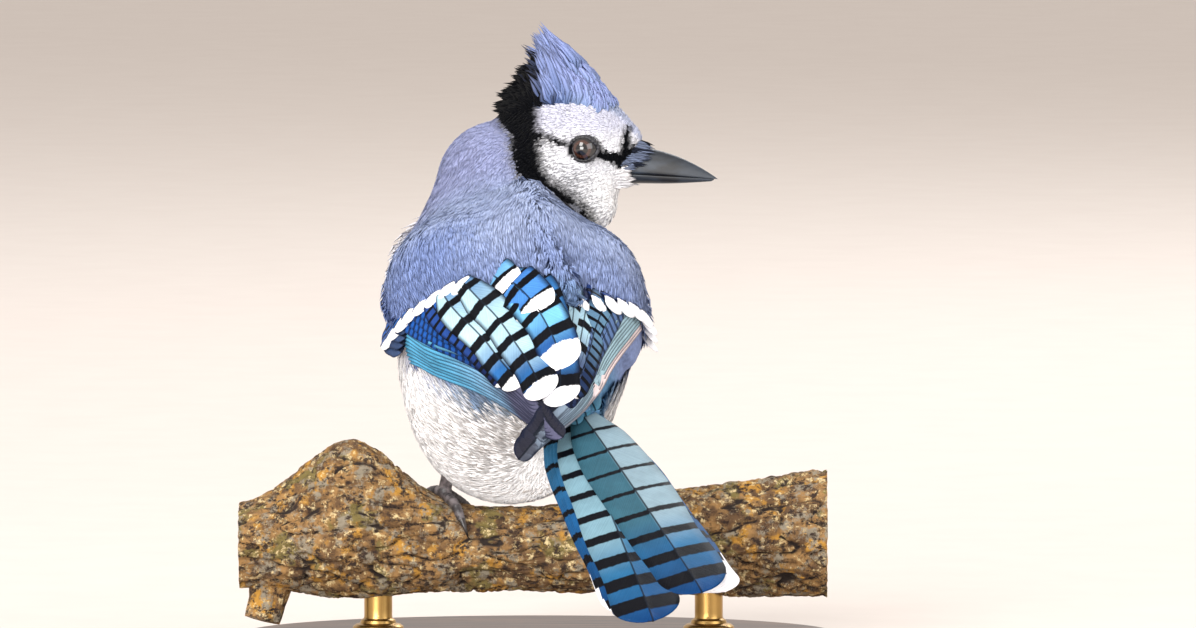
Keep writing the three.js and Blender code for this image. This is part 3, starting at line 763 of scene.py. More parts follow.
WHITE = srgb(250, 249, 250)
CREAM = srgb(243, 241, 237)
FACE = srgb(226, 226, 231)
LILAC = srgb(198, 199, 217)
CREST_BLUE = srgb(120, 140, 174)
CREST_TIP = srgb(150, 160, 214)
DEEP_BLUE = srgb(50, 74, 128)
BLACK = srgb(3, 4, 8)
MANTLE = srgb(152, 165, 198)
MANTLE_BLUE = srgb(118, 136, 184)
ASH = srgb(210, 209, 217)
RUMP = srgb(96, 140, 178)
NAPE = srgb(138, 140, 180)
WING_END_SHADE = srgb(78, 104, 140)

# Where the upper colours end on the trunk's side, by how far forward
UPPER_EDGE = ([-48, -20, 0, 20, 40, 60], [3, -4, -9, -7, -2, 2])

# Lines on the side of the head, in millimetres forward and up from its centre
CROWN_EDGE = ([-12, -2.2, 3.1, 7.9, 12.7, 16, 18.9, 22], [11, 12, 13, 12, 11.1, 8.6, 6.3, 1])
BAND_FRONT = (
    [-22, -18, -15.8, -12.5, -9.2, -6.4, -1.7, 1.2, 5.9, 10.1, 15.4, 34],
    [9.6, 8.2, 5.2, 1.1, -2.9, -4.3, -5.2, -6.2, -6.4, -6.7, -6.4, -11],
)
BAND_BACK = (
    [-24, -19, -16.8, -13, -10.2, -5.4, -1.7, 2.6, 7.3, 9],
    [6, 5.5, 3.1, -5.5, -9.8, -12.9, -14, -15, -21, -40],
)
EYE_MIDDLE = np.array([7.2, -0.6])
EYE_LINE = ([(1.8, 0.9), (-4.5, 2.2), (-9.0, 4.6)], (1.15, 1.4))
LORES = [
    ([(9.5, -0.4), (13, -3.0), (19.5, -3.6)], (1.3, 1.7)),
    ([(18.2, -2.5), (18.9, 5.4)], (1.6, 0.8)),
    ([(19.0, -3.4), (23.6, 1.4)], (1.4, 0.8)),
    ([(13.5, -3.4), (17.6, -6.2)], (0.9, 1.1)),
]


def near_line(places: Array, line: Sequence[tuple[float, float]], widths: tuple[float, float]) -> Array:
    """How far places lie outside a line whose half width changes from its start to its end.

    Args:
        places: points forward and up from the head's middle.
        line: the line's corners, in the same way.
        widths: the half width at its start and its end.
    Returns:
        A distance for each place, below 0 on the line.
    """
    corners = np.array(line, float)
    best = np.full(len(places), np.inf)
    count = len(corners) - 1
    for i in range(count):
        step = corners[i + 1] - corners[i]
        t = np.clip((places - corners[i]) @ step / (step @ step), 0, 1)
        away = np.linalg.norm(places - corners[i] - t[:, None] * step, axis=1)
        best = np.minimum(best, away - widths[0] - (widths[1] - widths[0]) * (i + t) / count)
    return best


def all_of(colour: Array, count: int) -> Array:
    """One colour for each of many points."""
    return np.tile(colour, (count, 1))


def paint_over(colours: Array, share: Array, colour: Array) -> Array:
    """Colours with another laid over them by a share."""
    return colours + (colour - colours) * np.clip(share, 0, 1)[:, None]


def body_colour(p: Array) -> Array:
    """The trunk's colours: soft violet-blue above, pale below.

    Args:
        p: points in the row frame.
    Returns:
        A linear colour for each point.
    """
    f, l, u = TRUNK.local(p).T
    edge = np.interp(f, *UPPER_EDGE)
    over = ease(u, edge - 3, edge + 3)
    colours = paint_over(all_of(WHITE, len(p)), 0.8 * ease(f, 8, 30), ASH)
    upper = paint_over(all_of(MANTLE, len(p)), 0.7 * ease(f, -2, -20), MANTLE_BLUE)
    upper = paint_over(upper, ease(l, 10, 30) * ease(f, 18, 2), MANTLE_BLUE)
    upper = paint_over(upper, ease(f, -26, -40), RUMP)
    upper = paint_over(upper, 0.6 * ease(f, 24, 44), NAPE)
    colours = colours + (upper - colours) * over[:, None]
    patch = np.linalg.norm((p - np.array([-14.0, -27.0, 75.0])) / [7.5, 10, 6], axis=1)
    return paint_over(colours, 0.75 * ease(patch, 1.1, 0.5), WING_END_SHADE)


def head_colour(p: Array) -> Array:
    """The head's colours: white face, blue crown, black band, eye line and lores.

    Args:
        p: points in the row frame.
    Returns:
        A linear colour for each point.
    """
    f, _, u = HEAD.local(p).T
    side = np.stack([f, u], 1)
    colours = paint_over(all_of(FACE, len(p)), 0.85 * ease(u, 1, 7), LILAC)
    colours = paint_over(colours, 0.5 * ease(u, -5, -11) * ease(f, 2, 14), CREAM)
    crown = ease(u - np.interp(f, *CROWN_EDGE), -0.8, 0.9)
    blue = paint_over(all_of(CREST_BLUE, len(p)), 0.8 * ease(f, 4, -6) * ease(u, 24, 14), DEEP_BLUE)
    blue = paint_over(blue, 0.6 * ease(f, 11, 18), LILAC)
    colours = colours + (blue - colours) * crown[:, None]
    front, back = np.interp(u, *BAND_FRONT), np.interp(u, *BAND_BACK)
    behind = ease(f - back, 0.9, -0.9)
    colours = colours + (body_colour(p) - colours) * behind[:, None]
    band = ease(f - front, 0.7, -0.7) * (1 - behind)
    colours = paint_over(colours, band, BLACK)
    for line, widths in [EYE_LINE, *LORES]:
        colours = paint_over(colours, ease(near_line(side, line, widths), 0.35, -0.35), BLACK)
    ring = np.linalg.norm((side - EYE_MIDDLE) / [1.12, 0.95], axis=1)
    return paint_over(colours, ease(ring, 4.3, 3.6), BLACK)


def plumage(p: Array) -> Array:
    """The bird's colours at points near its surface."""
    on_head = ease(from_head(p), 33, 27)
    return body_colour(p) * (1 - on_head[:, None]) + head_colour(p) * on_head[:, None]


# Which way the coat lies

SPINE = np.array(
    [HEAD.world(each) for each in ([30, 0, -5], [14, 0, -2], [2, 0, 0], [-9, 0, -5])]
    + [[-10, 30, 124]]
    + [TRUNK.world(each) for each in ([22, 0, 2], [4, 0, 2], [-14, 0, 2], [-32, -2, 4], [-50, -5, 6])]
)
SPINE_REACH = 7.0


def lie_at(p: Array, normals: Array) -> Array:
    """The way the feathers point, from the bill to the tail.

    Args:
        p: places on the skin.
        normals: the skin's normals there.
    Returns:
        Unit vectors along the skin.
    """
    ways = unit(np.gradient(SPINE, axis=0))
    away = np.linalg.norm(p[:, None, :] - SPINE[None], axis=2)
    weights = np.exp(-((away - away.min(1, keepdims=True)) / SPINE_REACH))
    way = weights @ ways
    f, _, u = HEAD.local(p).T
    on_head = ease(from_head(p), 30, 20)
    lift = 0.9 * ease(u, 6, 14) * ease(f, 18, 4) - 0.55 * ease(u, -1, -9)
    way = way + np.outer(on_head * lift, [0, 0, 1])
    return unit(way - normals * dot(way, normals)[:, None])


# Wings as curved sheets: s runs from the shoulder to the tip, t from the upper edge to the lower one

WING_UPPER = [[24, 10, 34], [4, 2, 37.5], [-16, 0.6, 37], [-36, 0.6, 32], [-54, 0.8, 25], [-66, 1, 20]]
WING_LOWER = [[44, 21, -9], [18, 32.5, -6], [-8, 33.5, -2], [-30, 27, 5], [-53, 15, 12], [-72, 5, 17]]
WING_CROWN = 5.0


class Side(Enum):
    """The bird's sides, with each wing's drift across the back: middle, tip and lift."""

    LEFT = (1, -4.0, -1.0, 4.0)
    RIGHT = (-1, 2.0, 7.0, 0.0)

    @property
    def sign(self) -> int:
        """1 on the left and -1 on the right."""
        return int(self.value[0])


def on_wing(side: Side, s: Array, t: Array, height: Array | float) -> Array:
    """Points on a wing's sheet, raised by a height.

    Args:
        side: which wing.
        s: shares along the wing.
        t: shares across it.
        height: how far out of the sheet.
    Returns:
        Points in the row frame.
    """
    s, t = np.broadcast_arrays(np.asarray(s, float), np.asarray(t, float))
    high, low = through(WING_UPPER, s), through(WING_LOWER, s)
    across = unit(low - high)
    out = unit(np.cross(np.array([1.0, 0, 0]), across))
    out = np.where(out[..., 2:] < 0, -out, out)
    crown = WING_CROWN * 4 * t * (1 - t) * np.clip(1 - 0.85 * s, 0.1, 1)
    local = high + (low - high) * t[..., None] + out * crown[..., None]
    sign, middle, tip, lift = side.value
    shift = middle * ease(s, 0.25, 0.6) + (tip - middle) * ease(s, 0.7, 1)
    f, l, u = local[..., 0], sign * local[..., 1] + shift, local[..., 2] + lift * ease(s, 0.35, 0.65)
    point = TRUNK.world(np.stack([f, l, u], -1))
    clear, least = trunk_distance(point), 0.3 + 1.1 * ease(s, 0.16, 0.3)
    point = point + slope_of(trunk_distance, point) * np.maximum(least - clear, 0)[..., None]
    facing = TRUNK.turn(np.stack([out[..., 0], sign * out[..., 1], out[..., 2]], -1))
    return point + facing * np.asarray(height, float)[..., None]


# Feathers with a shaft: a domed blade on either side of it

COLUMNS = np.array([-1, -0.74, -0.45, -0.2, -0.06, 0, 0.06, 0.2, 0.45, 0.74, 1])


@dataclass
class Shape:
    """One feather's form: its shaft with the outer side's way and the upper face's way at each station."""

    shaft: Array
    side: Array
    face: Array
    outer: Array
    inner: Array
    dome: float = 0.5
    thick: float = 0.35


@dataclass
class Paint:
    """One feather's colours: stops along it for each vane, its bars, its pale tip and a painted shadow along
    its edges.
    """

    outer: Stops
    inner: Stops
    period: float = 11.0
    duty: tuple[float, float] = (0.18, 0.34)
    bars: tuple[float, float] = (1.0, 1.0)
    slant: float = 0.25
    offset: float = 0.0
    pale_tip: float = -5.0
    # How dark the edges are: painted shadow where this feather lies over the next.
    rim: float = 0.0


def stops_at(stops: Stops, share: Array) -> Array:
    """The colour between stops, as linear values."""
    places = [place for place, _ in stops]
    known = np.array([srgb(*colour) for _, colour in stops])
    return np.stack([np.interp(share, places, known[:, k]) for k in range(3)], -1)


# The colour laid along feathers' edges: painted shadow where one feather lies over the next.
FEATHER_EDGE_SHADOW = srgb(14, 22, 44)
RACHIS = 0.16


class Plumes:
    """Gathers feathers with a shaft into one piece."""

    def __init__(self, seed: int) -> None:
        """Starts empty, with its own seeded draws."""
        self.random = np.random.default_rng(seed)
        names = ("points", "faces", "plume", "marks", "fine", "places")
        self.parts: dict[str, list[Array]] = {name: [] for name in names}

    def add(self, shape: Shape, paint: Paint) -> None:
        """Adds one feather.

        Args:
            shape: its form.
            paint: its colours.
        """
        rows, columns = len(shape.shaft), len(COLUMNS)
        x = np.tile(COLUMNS, (rows, 1))
        wobble = 1 + 0.035 * np.sin(np.linspace(0, 19, rows) + self.random.uniform(0, 6))
        half = np.where(x > 0, (shape.outer * wobble)[:, None], shape.inner[:, None])
        rachis = np.where(np.abs(x) < 0.01, RACHIS, 0.0)
        height = shape.dome * (1 - x**2) * np.minimum(half / max(shape.outer.max(), 1e-3), 1) + rachis
        out = shape.face[:, None]
        top = shape.shaft[:, None] + shape.side[:, None] * (x * half)[..., None] + out * height[..., None]
        bottom = top - out * (shape.thick * (1 - 0.55 * x**2))[..., None]
        faces = sheet_faces(rows, columns)
        if np.cross(shape.side[0], np.gradient(shape.shaft, axis=0)[0]) @ shape.face[0] < 0:
            faces = faces[:, ::-1]
        steps = np.linalg.norm(np.diff(shape.shaft, axis=0), axis=1)
        along = np.concatenate([[0], np.cumsum(steps)])
        remaining = (along[-1] - along)[:, None] + 0 * x
        share = along[:, None] / along[-1] + 0 * x
        vane = ease(x, -0.03, 0.03)[..., None]
        colour = stops_at(paint.inner, share) * (1 - vane) + stops_at(paint.outer, share) * vane
        # Darkens both edges of the vanes: painted shadow between overlapping feathers.
        edge_shadow = paint.rim * ease(np.abs(x), 0.8, 1.0)[..., None]
        colour = colour * (1 - edge_shadow) + FEATHER_EDGE_SHADOW * edge_shadow
        shade = self.random.uniform(0.9, 1.08)
        slanted = remaining + paint.slant * np.abs(x) * half + paint.offset
        phase = slanted / paint.period + 0.5 + np.where(x < 0, 0.06, 0)
        duty = paint.duty[0] + (paint.duty[1] - paint.duty[0]) * ease(share, 0.45, 1)
        strength = np.where(x < 0, paint.bars[0], paint.bars[1])
        tip = paint.pale_tip * (1 - 0.18 * x**2) - remaining
        barb = remaining + 1.6 * np.abs(x) * half + self.random.uniform(0, 500)
        cell = [np.stack([(x + 1) * 0.23 + 0.01 + shift, share * 0.94 + 0.03], -1) for shift in (0.0, 0.5)]
        base = sum(len(each) for each in self.parts["points"])
        for name, upper, lower in (
            ("points", top, bottom),
            ("plume", colour * shade, colour * shade),
            ("marks", *[np.stack([phase, duty, strength + 0 * x], -1)] * 2),
            ("fine", *[np.stack([tip, np.abs(x) * half, barb], -1)] * 2),
            ("places", *cell),
        ):
            width = upper.shape[-1]
            self.parts[name].append(np.concatenate([upper.reshape(-1, width), lower.reshape(-1, width)]))
        self.parts["faces"].append(faces + base)

    def build(self, name: str) -> Piece:
        """Makes the piece, each feather with its own cell of the bake map.

        Args:
            name: the piece's name.
        Returns:
            The piece.
        """
        across = int(np.ceil(np.sqrt(len(self.parts["places"]))))
        cells = [(place + [i % across, i // across]) / across for i, place in enumerate(self.parts["places"])]
        whole = {key: np.concatenate(each) for key, each in self.parts.items()}
        piece = made_object(name, whole["points"], whole["faces"])
        set_colour(piece, "plume", whole["plume"])
        set_vector(piece, "marks", whole["marks"])
        set_vector(piece, "fine", whole["fine"])
        set_bake_map(piece, np.concatenate(cells))
        return piece


def stations(count: int) -> Array:
    """Shares along a feather, closer towards its tip."""
    v = np.linspace(0, 1, count)
    return 1 - (1 - v) ** 1.5


def outline(share: Array, length: float, half: float, rounding: float) -> Array:
    """Half widths along a feather with a narrow root and a rounded or pointed tip.

    Args:
        share: shares along it.
        length: its length.
        half: its half width.
        rounding: the length of its tip, in half widths.
    Returns:
        One half width for each share.
    """
    from_tip = (1 - share) * length
    reach = max(rounding * half, 0.1)
    near = np.clip(from_tip / reach, 0, 1)
    tip = np.sqrt(np.clip(1 - (1 - near) ** 2, 0, 1))
    return half * np.maximum(tip, 0.03) * (0.45 + 0.55 * ease(share, 0, 0.22))


# Skin and coat


class SkinField:
    """The finished skin as something to measure against: its nearest places, their normals and its area."""

    def __init__(self, skin: Piece) -> None:
        """Reads the skin's points, triangles and normals."""
        mesh = skin.data
        mesh.calc_loop_triangles()
        self.points = points_of(skin)
        self.triangles = np.array([t.vertices[:] for t in mesh.loop_triangles])
        normals = np.zeros(len(self.points) * 3, np.float32)
        mesh.vertices.foreach_get("normal", normals)
        self.normals = normals.reshape(-1, 3).astype(float)
        self.tree = BVHTree.FromPolygons(self.points.tolist(), self.triangles.tolist())

    def nearest(self, places: Array) -> tuple[Array, Array]:
        """The nearest places on the skin and the smooth normals there.

        Args:
            places: points near it.
        Returns:
            The nearest places and their normals.
        """
        found = [self.tree.find_nearest(Vector(p)) for p in places]
        at = np.array([hit[0] for hit in found])
        faces = self.triangles[[hit[2] for hit in found]]
        corners = self.points[faces]
        weights = 1 / (np.linalg.norm(corners - at[:, None], axis=2) + 0.15)
        normals = np.sum(self.normals[faces] * weights[..., None], axis=1)
        return at, unit(normals)

    def scattered(self, random: Draws, count: int, spacing: Distance) -> Array:
        """Places spread over the skin.

        Args:
            random: where the draws come from.
            count: how many places are tried.
            spacing: how far apart they are kept, for each place.
        Returns:
            The places kept.
        """
        corners = self.points[self.triangles]
        first, second = corners[:, 1] - corners[:, 0], corners[:, 2] - corners[:, 0]
        areas = np.linalg.norm(np.cross(first, second), axis=1)
        picked = random.choice(len(areas), count, p=areas / areas.sum())
        a, b = np.sqrt(random.random(count)), random.random(count)
        weights = np.stack([1 - a, a * (1 - b), a * b], 1)
        places = np.einsum("nk,nkd->nd", weights, corners[picked])
        gaps = spacing(places)
        cell = float(gaps.max())
        kept: dict[tuple[int, int, int], list[int]] = {}
        chosen: list[int] = []
        keys = np.floor(places / cell).astype(int)
        around = [(i, j, k) for i in (-1, 0, 1) for j in (-1, 0, 1) for k in (-1, 0, 1)]
        for n, (x, y, z) in enumerate(keys.tolist()):
            near = [m for i, j, k in around for m in kept.get((x + i, y + j, z + k), ())]
            if near and np.min(np.sum((places[near] - places[n]) ** 2, axis=1)) < gaps[n] ** 2:
                continue
            kept.setdefault((x, y, z), []).append(n)
            chosen.append(n)
        return places[chosen]


CORE_PROFILE = (
    [0.02, 0.1, 0.15, 0.21, 0.27, 0.34, 0.42, 0.5, 0.56],
    [-2, -0.6, 0.4, 1.3, 2.1, 2.3, 1.0, -0.4, -1.6],
)


@dataclass
class Skin:
    """One skin over trunk, neck, head and the wings' roots, inside the outline by the coat's depth."""

    voxel: float = 1.1
    smoothing: int = 6
    # How much darker than the plumage the skin is: painted shade in the gaps between the feathers.
    shade: float = 0.9
    balls: tuple[tuple[str, Array, Distance, float], ...] = (
        ("trunk", TRUNK.world([2, 0, -2]), trunk_distance, 90.0),
        ("neck", np.array([-12.0, 37.0, 122.0]), body_distance, 26.0),
        ("head", HEAD.world([-1, 0, 1]), body_distance, 29.0),
    )

    def ball(self, name: str, centre: Array, distance: Distance, farthest: float) -> Piece:
        """A ball whose points all go out to the flesh's surface, less the coat.

        Args:
            name: the form's name.
            centre: its middle, inside the flesh.
            distance: the flesh.
            farthest: how far from the middle it may reach.
        Returns:
            The closed form.
        """
        bpy.ops.object.select_all(action="DESELECT")
        bpy.ops.mesh.primitive_ico_sphere_add(subdivisions=6, radius=0.01)
        made = bpy.context.object
        made.name = name
        ways = unit(points_of(made))

        def bounded(p: Array) -> Array:
            """The coat's underside, no farther out than the ball may reach."""
            return np.maximum(distance(p) + coat_depth(p), np.linalg.norm(p - centre, axis=1) - farthest)

        reach = reach_of(bounded, np.tile(centre, (len(ways), 1)), ways)
        set_points(made, centre + ways * reach[:, None])
        return made

    def shoulder(self, side: Side) -> Piece:
        """The swelling of a folded wing's root, over which the mantle runs."""
        s, t = np.meshgrid(np.linspace(0.02, 0.56, 22), np.linspace(0, 1, 13), indexing="ij")
        high = np.interp(s, *CORE_PROFILE) * np.sin(np.pi * (0.15 + 0.7 * t))
        sunk = 8.0 * ease(s, 0.26, 0.0) * (1 - t)
        top, low = on_wing(side, s, t, high - sunk), on_wing(side, s, t, -6.0 - sunk)
        points = np.concatenate([top.reshape(-1, 3), low.reshape(-1, 3)])
        return outward(made_object(f"shoulder_{side.name.lower()}", points, sheet_faces(*s.shape)))

    def build(self) -> Piece:
        """Builds, fuses, smooths and colours the skin.

        Returns:
            The skin.
        """
        forms = [self.ball(*ball) for ball in self.balls] + [self.shoulder(side) for side in Side]
        skin = joined(forms, "skin")
        skin.data.remesh_voxel_size = self.voxel * MM
        bpy.ops.object.voxel_remesh()
        smoothing = skin.modifiers.new("soften", "SMOOTH")
        smoothing.iterations = self.smoothing
        bpy.ops.object.modifier_apply(modifier=smoothing.name)
        set_points(skin, Perch().cleared(points_of(skin), 0.5))
        smooth_all(skin)
        # The plumage's colours, darkened: painted shade where the skin shows between the feathers.
        set_colour(skin, "plume", plumage(points_of(skin)) * self.shade)
        dress(skin, DownFinish("skin under the feathers", mottle=0.3).make())
        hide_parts("torso", "neck", "head")
        return skin


@dataclass
class Tufts:
    """Many soft feathers, each a fan of tapered strands along a line of four places."""

    line: Array
    side: Array
    face: Array
    width: Array
    root: Array
    tip: Array
    place: Array
    strands: int = 7
    thick: float = 0.07
    fray: float = 0.22
    spread: tuple[float, ...] = (0.1, 0.62, 0.95, 1.0)
    swell: tuple[float, ...] = (0.4, 1.0, 0.78)
    patch: float = 0.003
    seed: int = 1

    def build(self, name: str) -> Piece:
        """Makes the piece as one mesh.

        Args:
            name: the piece's name.
        Returns:
            The piece.
        """
        random = np.random.default_rng(self.seed)
        count, strands = len(self.line), self.strands
        fan = np.linspace(-1, 1, strands)[None] + random.uniform(-0.5, 0.5, (count, strands)) / strands
        reach = 1 - 0.2 * fan**2 - self.fray * random.random((count, strands))
        lift = random.uniform(-0.12, 0.2, (count, strands))
        half = self.width[:, None] / strands * random.uniform(0.75, 1.15, (count, strands))
        rings = []
        for k in range(4):
            place = np.clip(reach * k, 0, 3)
            at = np.minimum(place.astype(int), 2)
            w = (place - at)[..., None]
            rows = np.arange(count)[:, None]
            middle = self.line[rows, at] * (1 - w) + self.line[rows, at + 1] * w
            side, face = self.side[:, None, k], self.face[:, None, k]
            out = fan * self.width[:, None] / 2 * self.spread[k]
            middle = middle + side * out[..., None] + face * (lift * (k > 0))[..., None]
            if k == 3:
                rings.append(middle[:, :, None])
                continue
            wide = (half * self.swell[k])[..., None]
            ridge = middle + face * (self.thick * (1.2 - 0.25 * k))
            rings.append(np.stack([middle - side * wide, middle + side * wide, ridge], 2))
        points = np.concatenate(rings, 2)
        share = np.array([0, 0, 0, 1, 1, 1, 2, 2, 2, 3]) / 3
        shade = random.uniform(0.9, 1.1, (count, 1, 1, 1))
        shade = shade * random.uniform(0.93, 1.07, (count, strands, 1, 1))
        fade = share[None, None, :, None]
        colour = (self.root[:, None, None] * (1 - fade) + self.tip[:, None, None] * fade) * shade
        number = np.arange(count * strands)[:, None, None] * 10
        band = np.array([[0, 1, 4, 3], [1, 2, 5, 4], [2, 0, 3, 5], [3, 4, 7, 6], [4, 5, 8, 7], [5, 3, 6, 8]])
        ends = np.array([[6, 7, 9], [7, 8, 9], [8, 6, 9], [0, 2, 1]])
        quads, triangles = (number + band).reshape(-1, 4), (number + ends).reshape(-1, 3)
        along = share[None, None] + 0 * fan[..., None]
        across = (np.arange(strands)[None, :, None] + np.array([0.1, 0.8, 0.45] * 3 + [0.45])) / strands
        places = self.place[:, None, None] + np.stack(np.broadcast_arrays(across, along), -1) * self.patch
        piece = made_object(name, points.reshape(-1, 3), quads, triangles)
        a, b, c = points[0, strands // 2, [0, 1, 4]]
        if np.dot(np.cross(b - a, c - b), self.face[0, 0]) > 0:
            piece.data.flip_normals()
        set_colour(piece, "plume", colour.reshape(-1, 3))
        set_bake_map(piece, places.reshape(-1, 2))
        return piece


HEAD_REACH = 27.0


def bake_place(p: Array) -> Array:
    """Where a root lies on the skin unrolled: the trunk round its long axis, and the head round its own."""
    unrolled = []
    for axes, share, start, back, long in ((TRUNK, 0.6, 0.005, 62, 130), (HEAD, 0.36, 0.63, 26, 56)):
        f, l, u = axes.local(p).T
        turn = np.arctan2(l, u) / (2 * np.pi) + 0.5
        unrolled.append(np.stack([turn * share + start, (f + back) / long], 1))
    trunk, head = unrolled
    on_head = from_head(p) < HEAD_REACH
    return np.clip(np.where(on_head[:, None], head, trunk), 0, 0.995)


# Where the mantle ends on each wing: places from the upper edge to the lower, and shares along the wing there
MANTLE_EDGE = {
    Side.LEFT: (
        [0, 0.1, 0.2, 0.4, 0.55, 0.7, 0.85, 1.1],
        [0.53, 0.49, 0.435, 0.395, 0.365, 0.35, 0.33, 0.33],
    ),
    Side.RIGHT: ([0.05, 0.28, 0.56, 0.7, 0.9, 1.1], [0.465, 0.48, 0.435, 0.405, 0.385, 0.38]),
}


def wing_grid() -> tuple[Array, Array]:
    """Sample places on both wings' sheets.

    Returns:
        The places, and for each how far it lies past the mantle's edge and its t.
    """
    s, t = np.meshgrid(np.linspace(0, 1.05, 70), np.linspace(-0.05, 1.15, 40), indexing="ij")
    places = np.concatenate([on_wing(side, s, t, 1.5).reshape(-1, 3) for side in Side])
    past = np.concatenate([(s - 0.085 - np.interp(t, *MANTLE_EDGE[side])).ravel() for side in Side])
    return places, np.stack([past, np.tile(t.ravel(), 2)], 1)


@dataclass
class Coat:
    """The body's contour feathers, which lie from the bill to the tail and stop over the wings' roots."""

    seed: int = 11
    candidates: int = 120000
    sunk: float = 0.7

    @staticmethod
    def spacing(p: Array) -> Array:
        """How far apart feathers grow: close on the face, wide on the trunk."""
        return 0.8 + 1.0 * ease(from_head(p), 18, 42)

    @staticmethod
    def length(p: Array) -> Array:
        """How long feathers are."""
        away = from_head(p)
        f, _, _ = HEAD.local(p).T
        bill = ease(f, 8, 18) * ease(away, 26, 20)
        return (3.4 + 9.2 * ease(away, 18, 46)) * (1 - 0.4 * bill)

    def chosen(self, field_of_skin: SkinField, random: Draws) -> Array:
        """Roots that no wing covers, whose tips stop at the mantle's edge.

        Args:
            field_of_skin: the skin that they grow on.
            random: where the draws come from.
        Returns:
            The roots kept.
        """
        places, shares = wing_grid()
        tree = KDTree(len(places))
        for i, place in enumerate(places):
            tree.insert(Vector(place), i)
        tree.balance()

        def wing_place(p: Array) -> tuple[Array, Array]:
            """What the nearest sheet place stores, and how far off it is."""
            found = [tree.find(Vector(each)) for each in p]
            return shares[[hit[1] for hit in found]], np.array([hit[2] for hit in found])

        roots = field_of_skin.scattered(random, self.candidates, self.spacing)
        _, normals = field_of_skin.nearest(roots)
        tips = roots + lie_at(roots, normals) * (self.length(roots) * 0.95)[:, None]
        keep = Perch().distance(roots) > 0.2
        eye = np.linalg.norm((HEAD.local(roots)[:, [0, 2]] - EYE_MIDDLE) / [1.05, 0.95], axis=1)
        keep &= (eye > 3.9) | (from_head(roots) > 24)
        for p in (roots, tips):
            found, away = wing_place(p)
            ragged = random.uniform(-0.01, 0.01, len(p))
            keep &= ~((found[:, 0] > ragged) & (found[:, 1] < 1.12) & (away < 5.5))
        return roots[keep]

    def build(self, field_of_skin: SkinField) -> list[Piece]:
        """Grows the coat in regions.

        Args:
            field_of_skin: the skin that it grows on.
        Returns:
            One piece for each region.
        """
        random = np.random.default_rng(self.seed)
        roots = self.chosen(field_of_skin, random)
        length = self.length(roots) * random.uniform(0.85, 1.12, len(roots))
        away = from_head(roots)
        high = 0.22 + 0.78 * ease(away, 18, 42)
        at, normals = field_of_skin.nearest(roots)
        way = turned(lie_at(at, normals), normals, random.normal(0, 0.09, len(roots)))
        line, side, face = [at - normals * self.sunk], [np.cross(normals, way)], [normals]
        heights = (0.5, 0.95 - 0.15 * ease(away, 26, 20), 1.3 - 0.45 * ease(away, 26, 20))
        walk = at
        for k in range(3):
            walk, normals = field_of_skin.nearest(walk + way * (length / 3)[:, None])
            onward = lie_at(walk, normals)
            way = unit(way - normals * dot(way, normals)[:, None] + 0.5 * onward)
            ruffle = random.uniform(-0.1, 0.25, len(roots)) * (k + 1) / 3
            line.append(walk + normals * (high * (heights[k] + ruffle))[:, None])
            side.append(np.cross(normals, way))
            face.append(normals)
        line, side, face = (np.stack(each, 1) for each in (line, side, face))
        root_colour = plumage(line[:, 1] + face[:, 1] * 0.5) * 0.96
        tip_colour = plumage(line[:, 3] * 0.8 + line[:, 2] * 0.2) * 1.03
        f, l, u = TRUNK.local(roots).T
        places = bake_place(roots)
        over = u > np.interp(f, *UPPER_EDGE)
        on_head = away < HEAD_REACH
        front = HEAD.local(roots)[:, 0] > -2
        regions = {
            "coat_face": (on_head & front, 6, "belly"),
            "coat_nape": (on_head & ~front, 6, "mantle"),
            "coat_mantle_left": (~on_head & over & (l > 0), 11, "mantle"),
            "coat_mantle_right": (~on_head & over & (l <= 0), 11, "mantle"),
            "coat_breast": (~on_head & ~over & (f > 14), 9, "belly"),
            "coat_flank": (~on_head & ~over & (f <= 14) & (l > 0), 11, "belly"),
            "coat_belly": (~on_head & ~over & (f <= 14) & (l <= 0), 11, "belly"),
        }
        down = DownFinish("contour feathers").make()
        made = []
        for number, (name, (inside, strands, slot)) in enumerate(regions.items()):
            width = length[inside] * np.where(on_head[inside], 0.62, 0.58)
            tufts = Tufts(
                line[inside], side[inside], face[inside], width, root_colour[inside], tip_colour[inside],
                places[inside], strands, seed=self.seed + number,
            )
            made.append(dress(tufts.build(name), down))
            LOG.info("%s: %d feathers, %d faces", name, int(inside.sum()), len(made[-1].data.polygons))
        return made


# Crest and bristles

# The crest's outline by its turn up from the bill in degrees: forward and up from the head's middle
CREST_TURNS = [30, 40, 54, 70, 84, 98, 112, 127, 142, 156]
CREST_FORWARD = [13, 9.5, 3.5, -3.2, -9.2, -12.5, -15.5, -18.5, -22, -23]
CREST_UP = [14.5, 18.5, 24.5, 31, 36.5, 29, 22.5, 17, 12, 7]


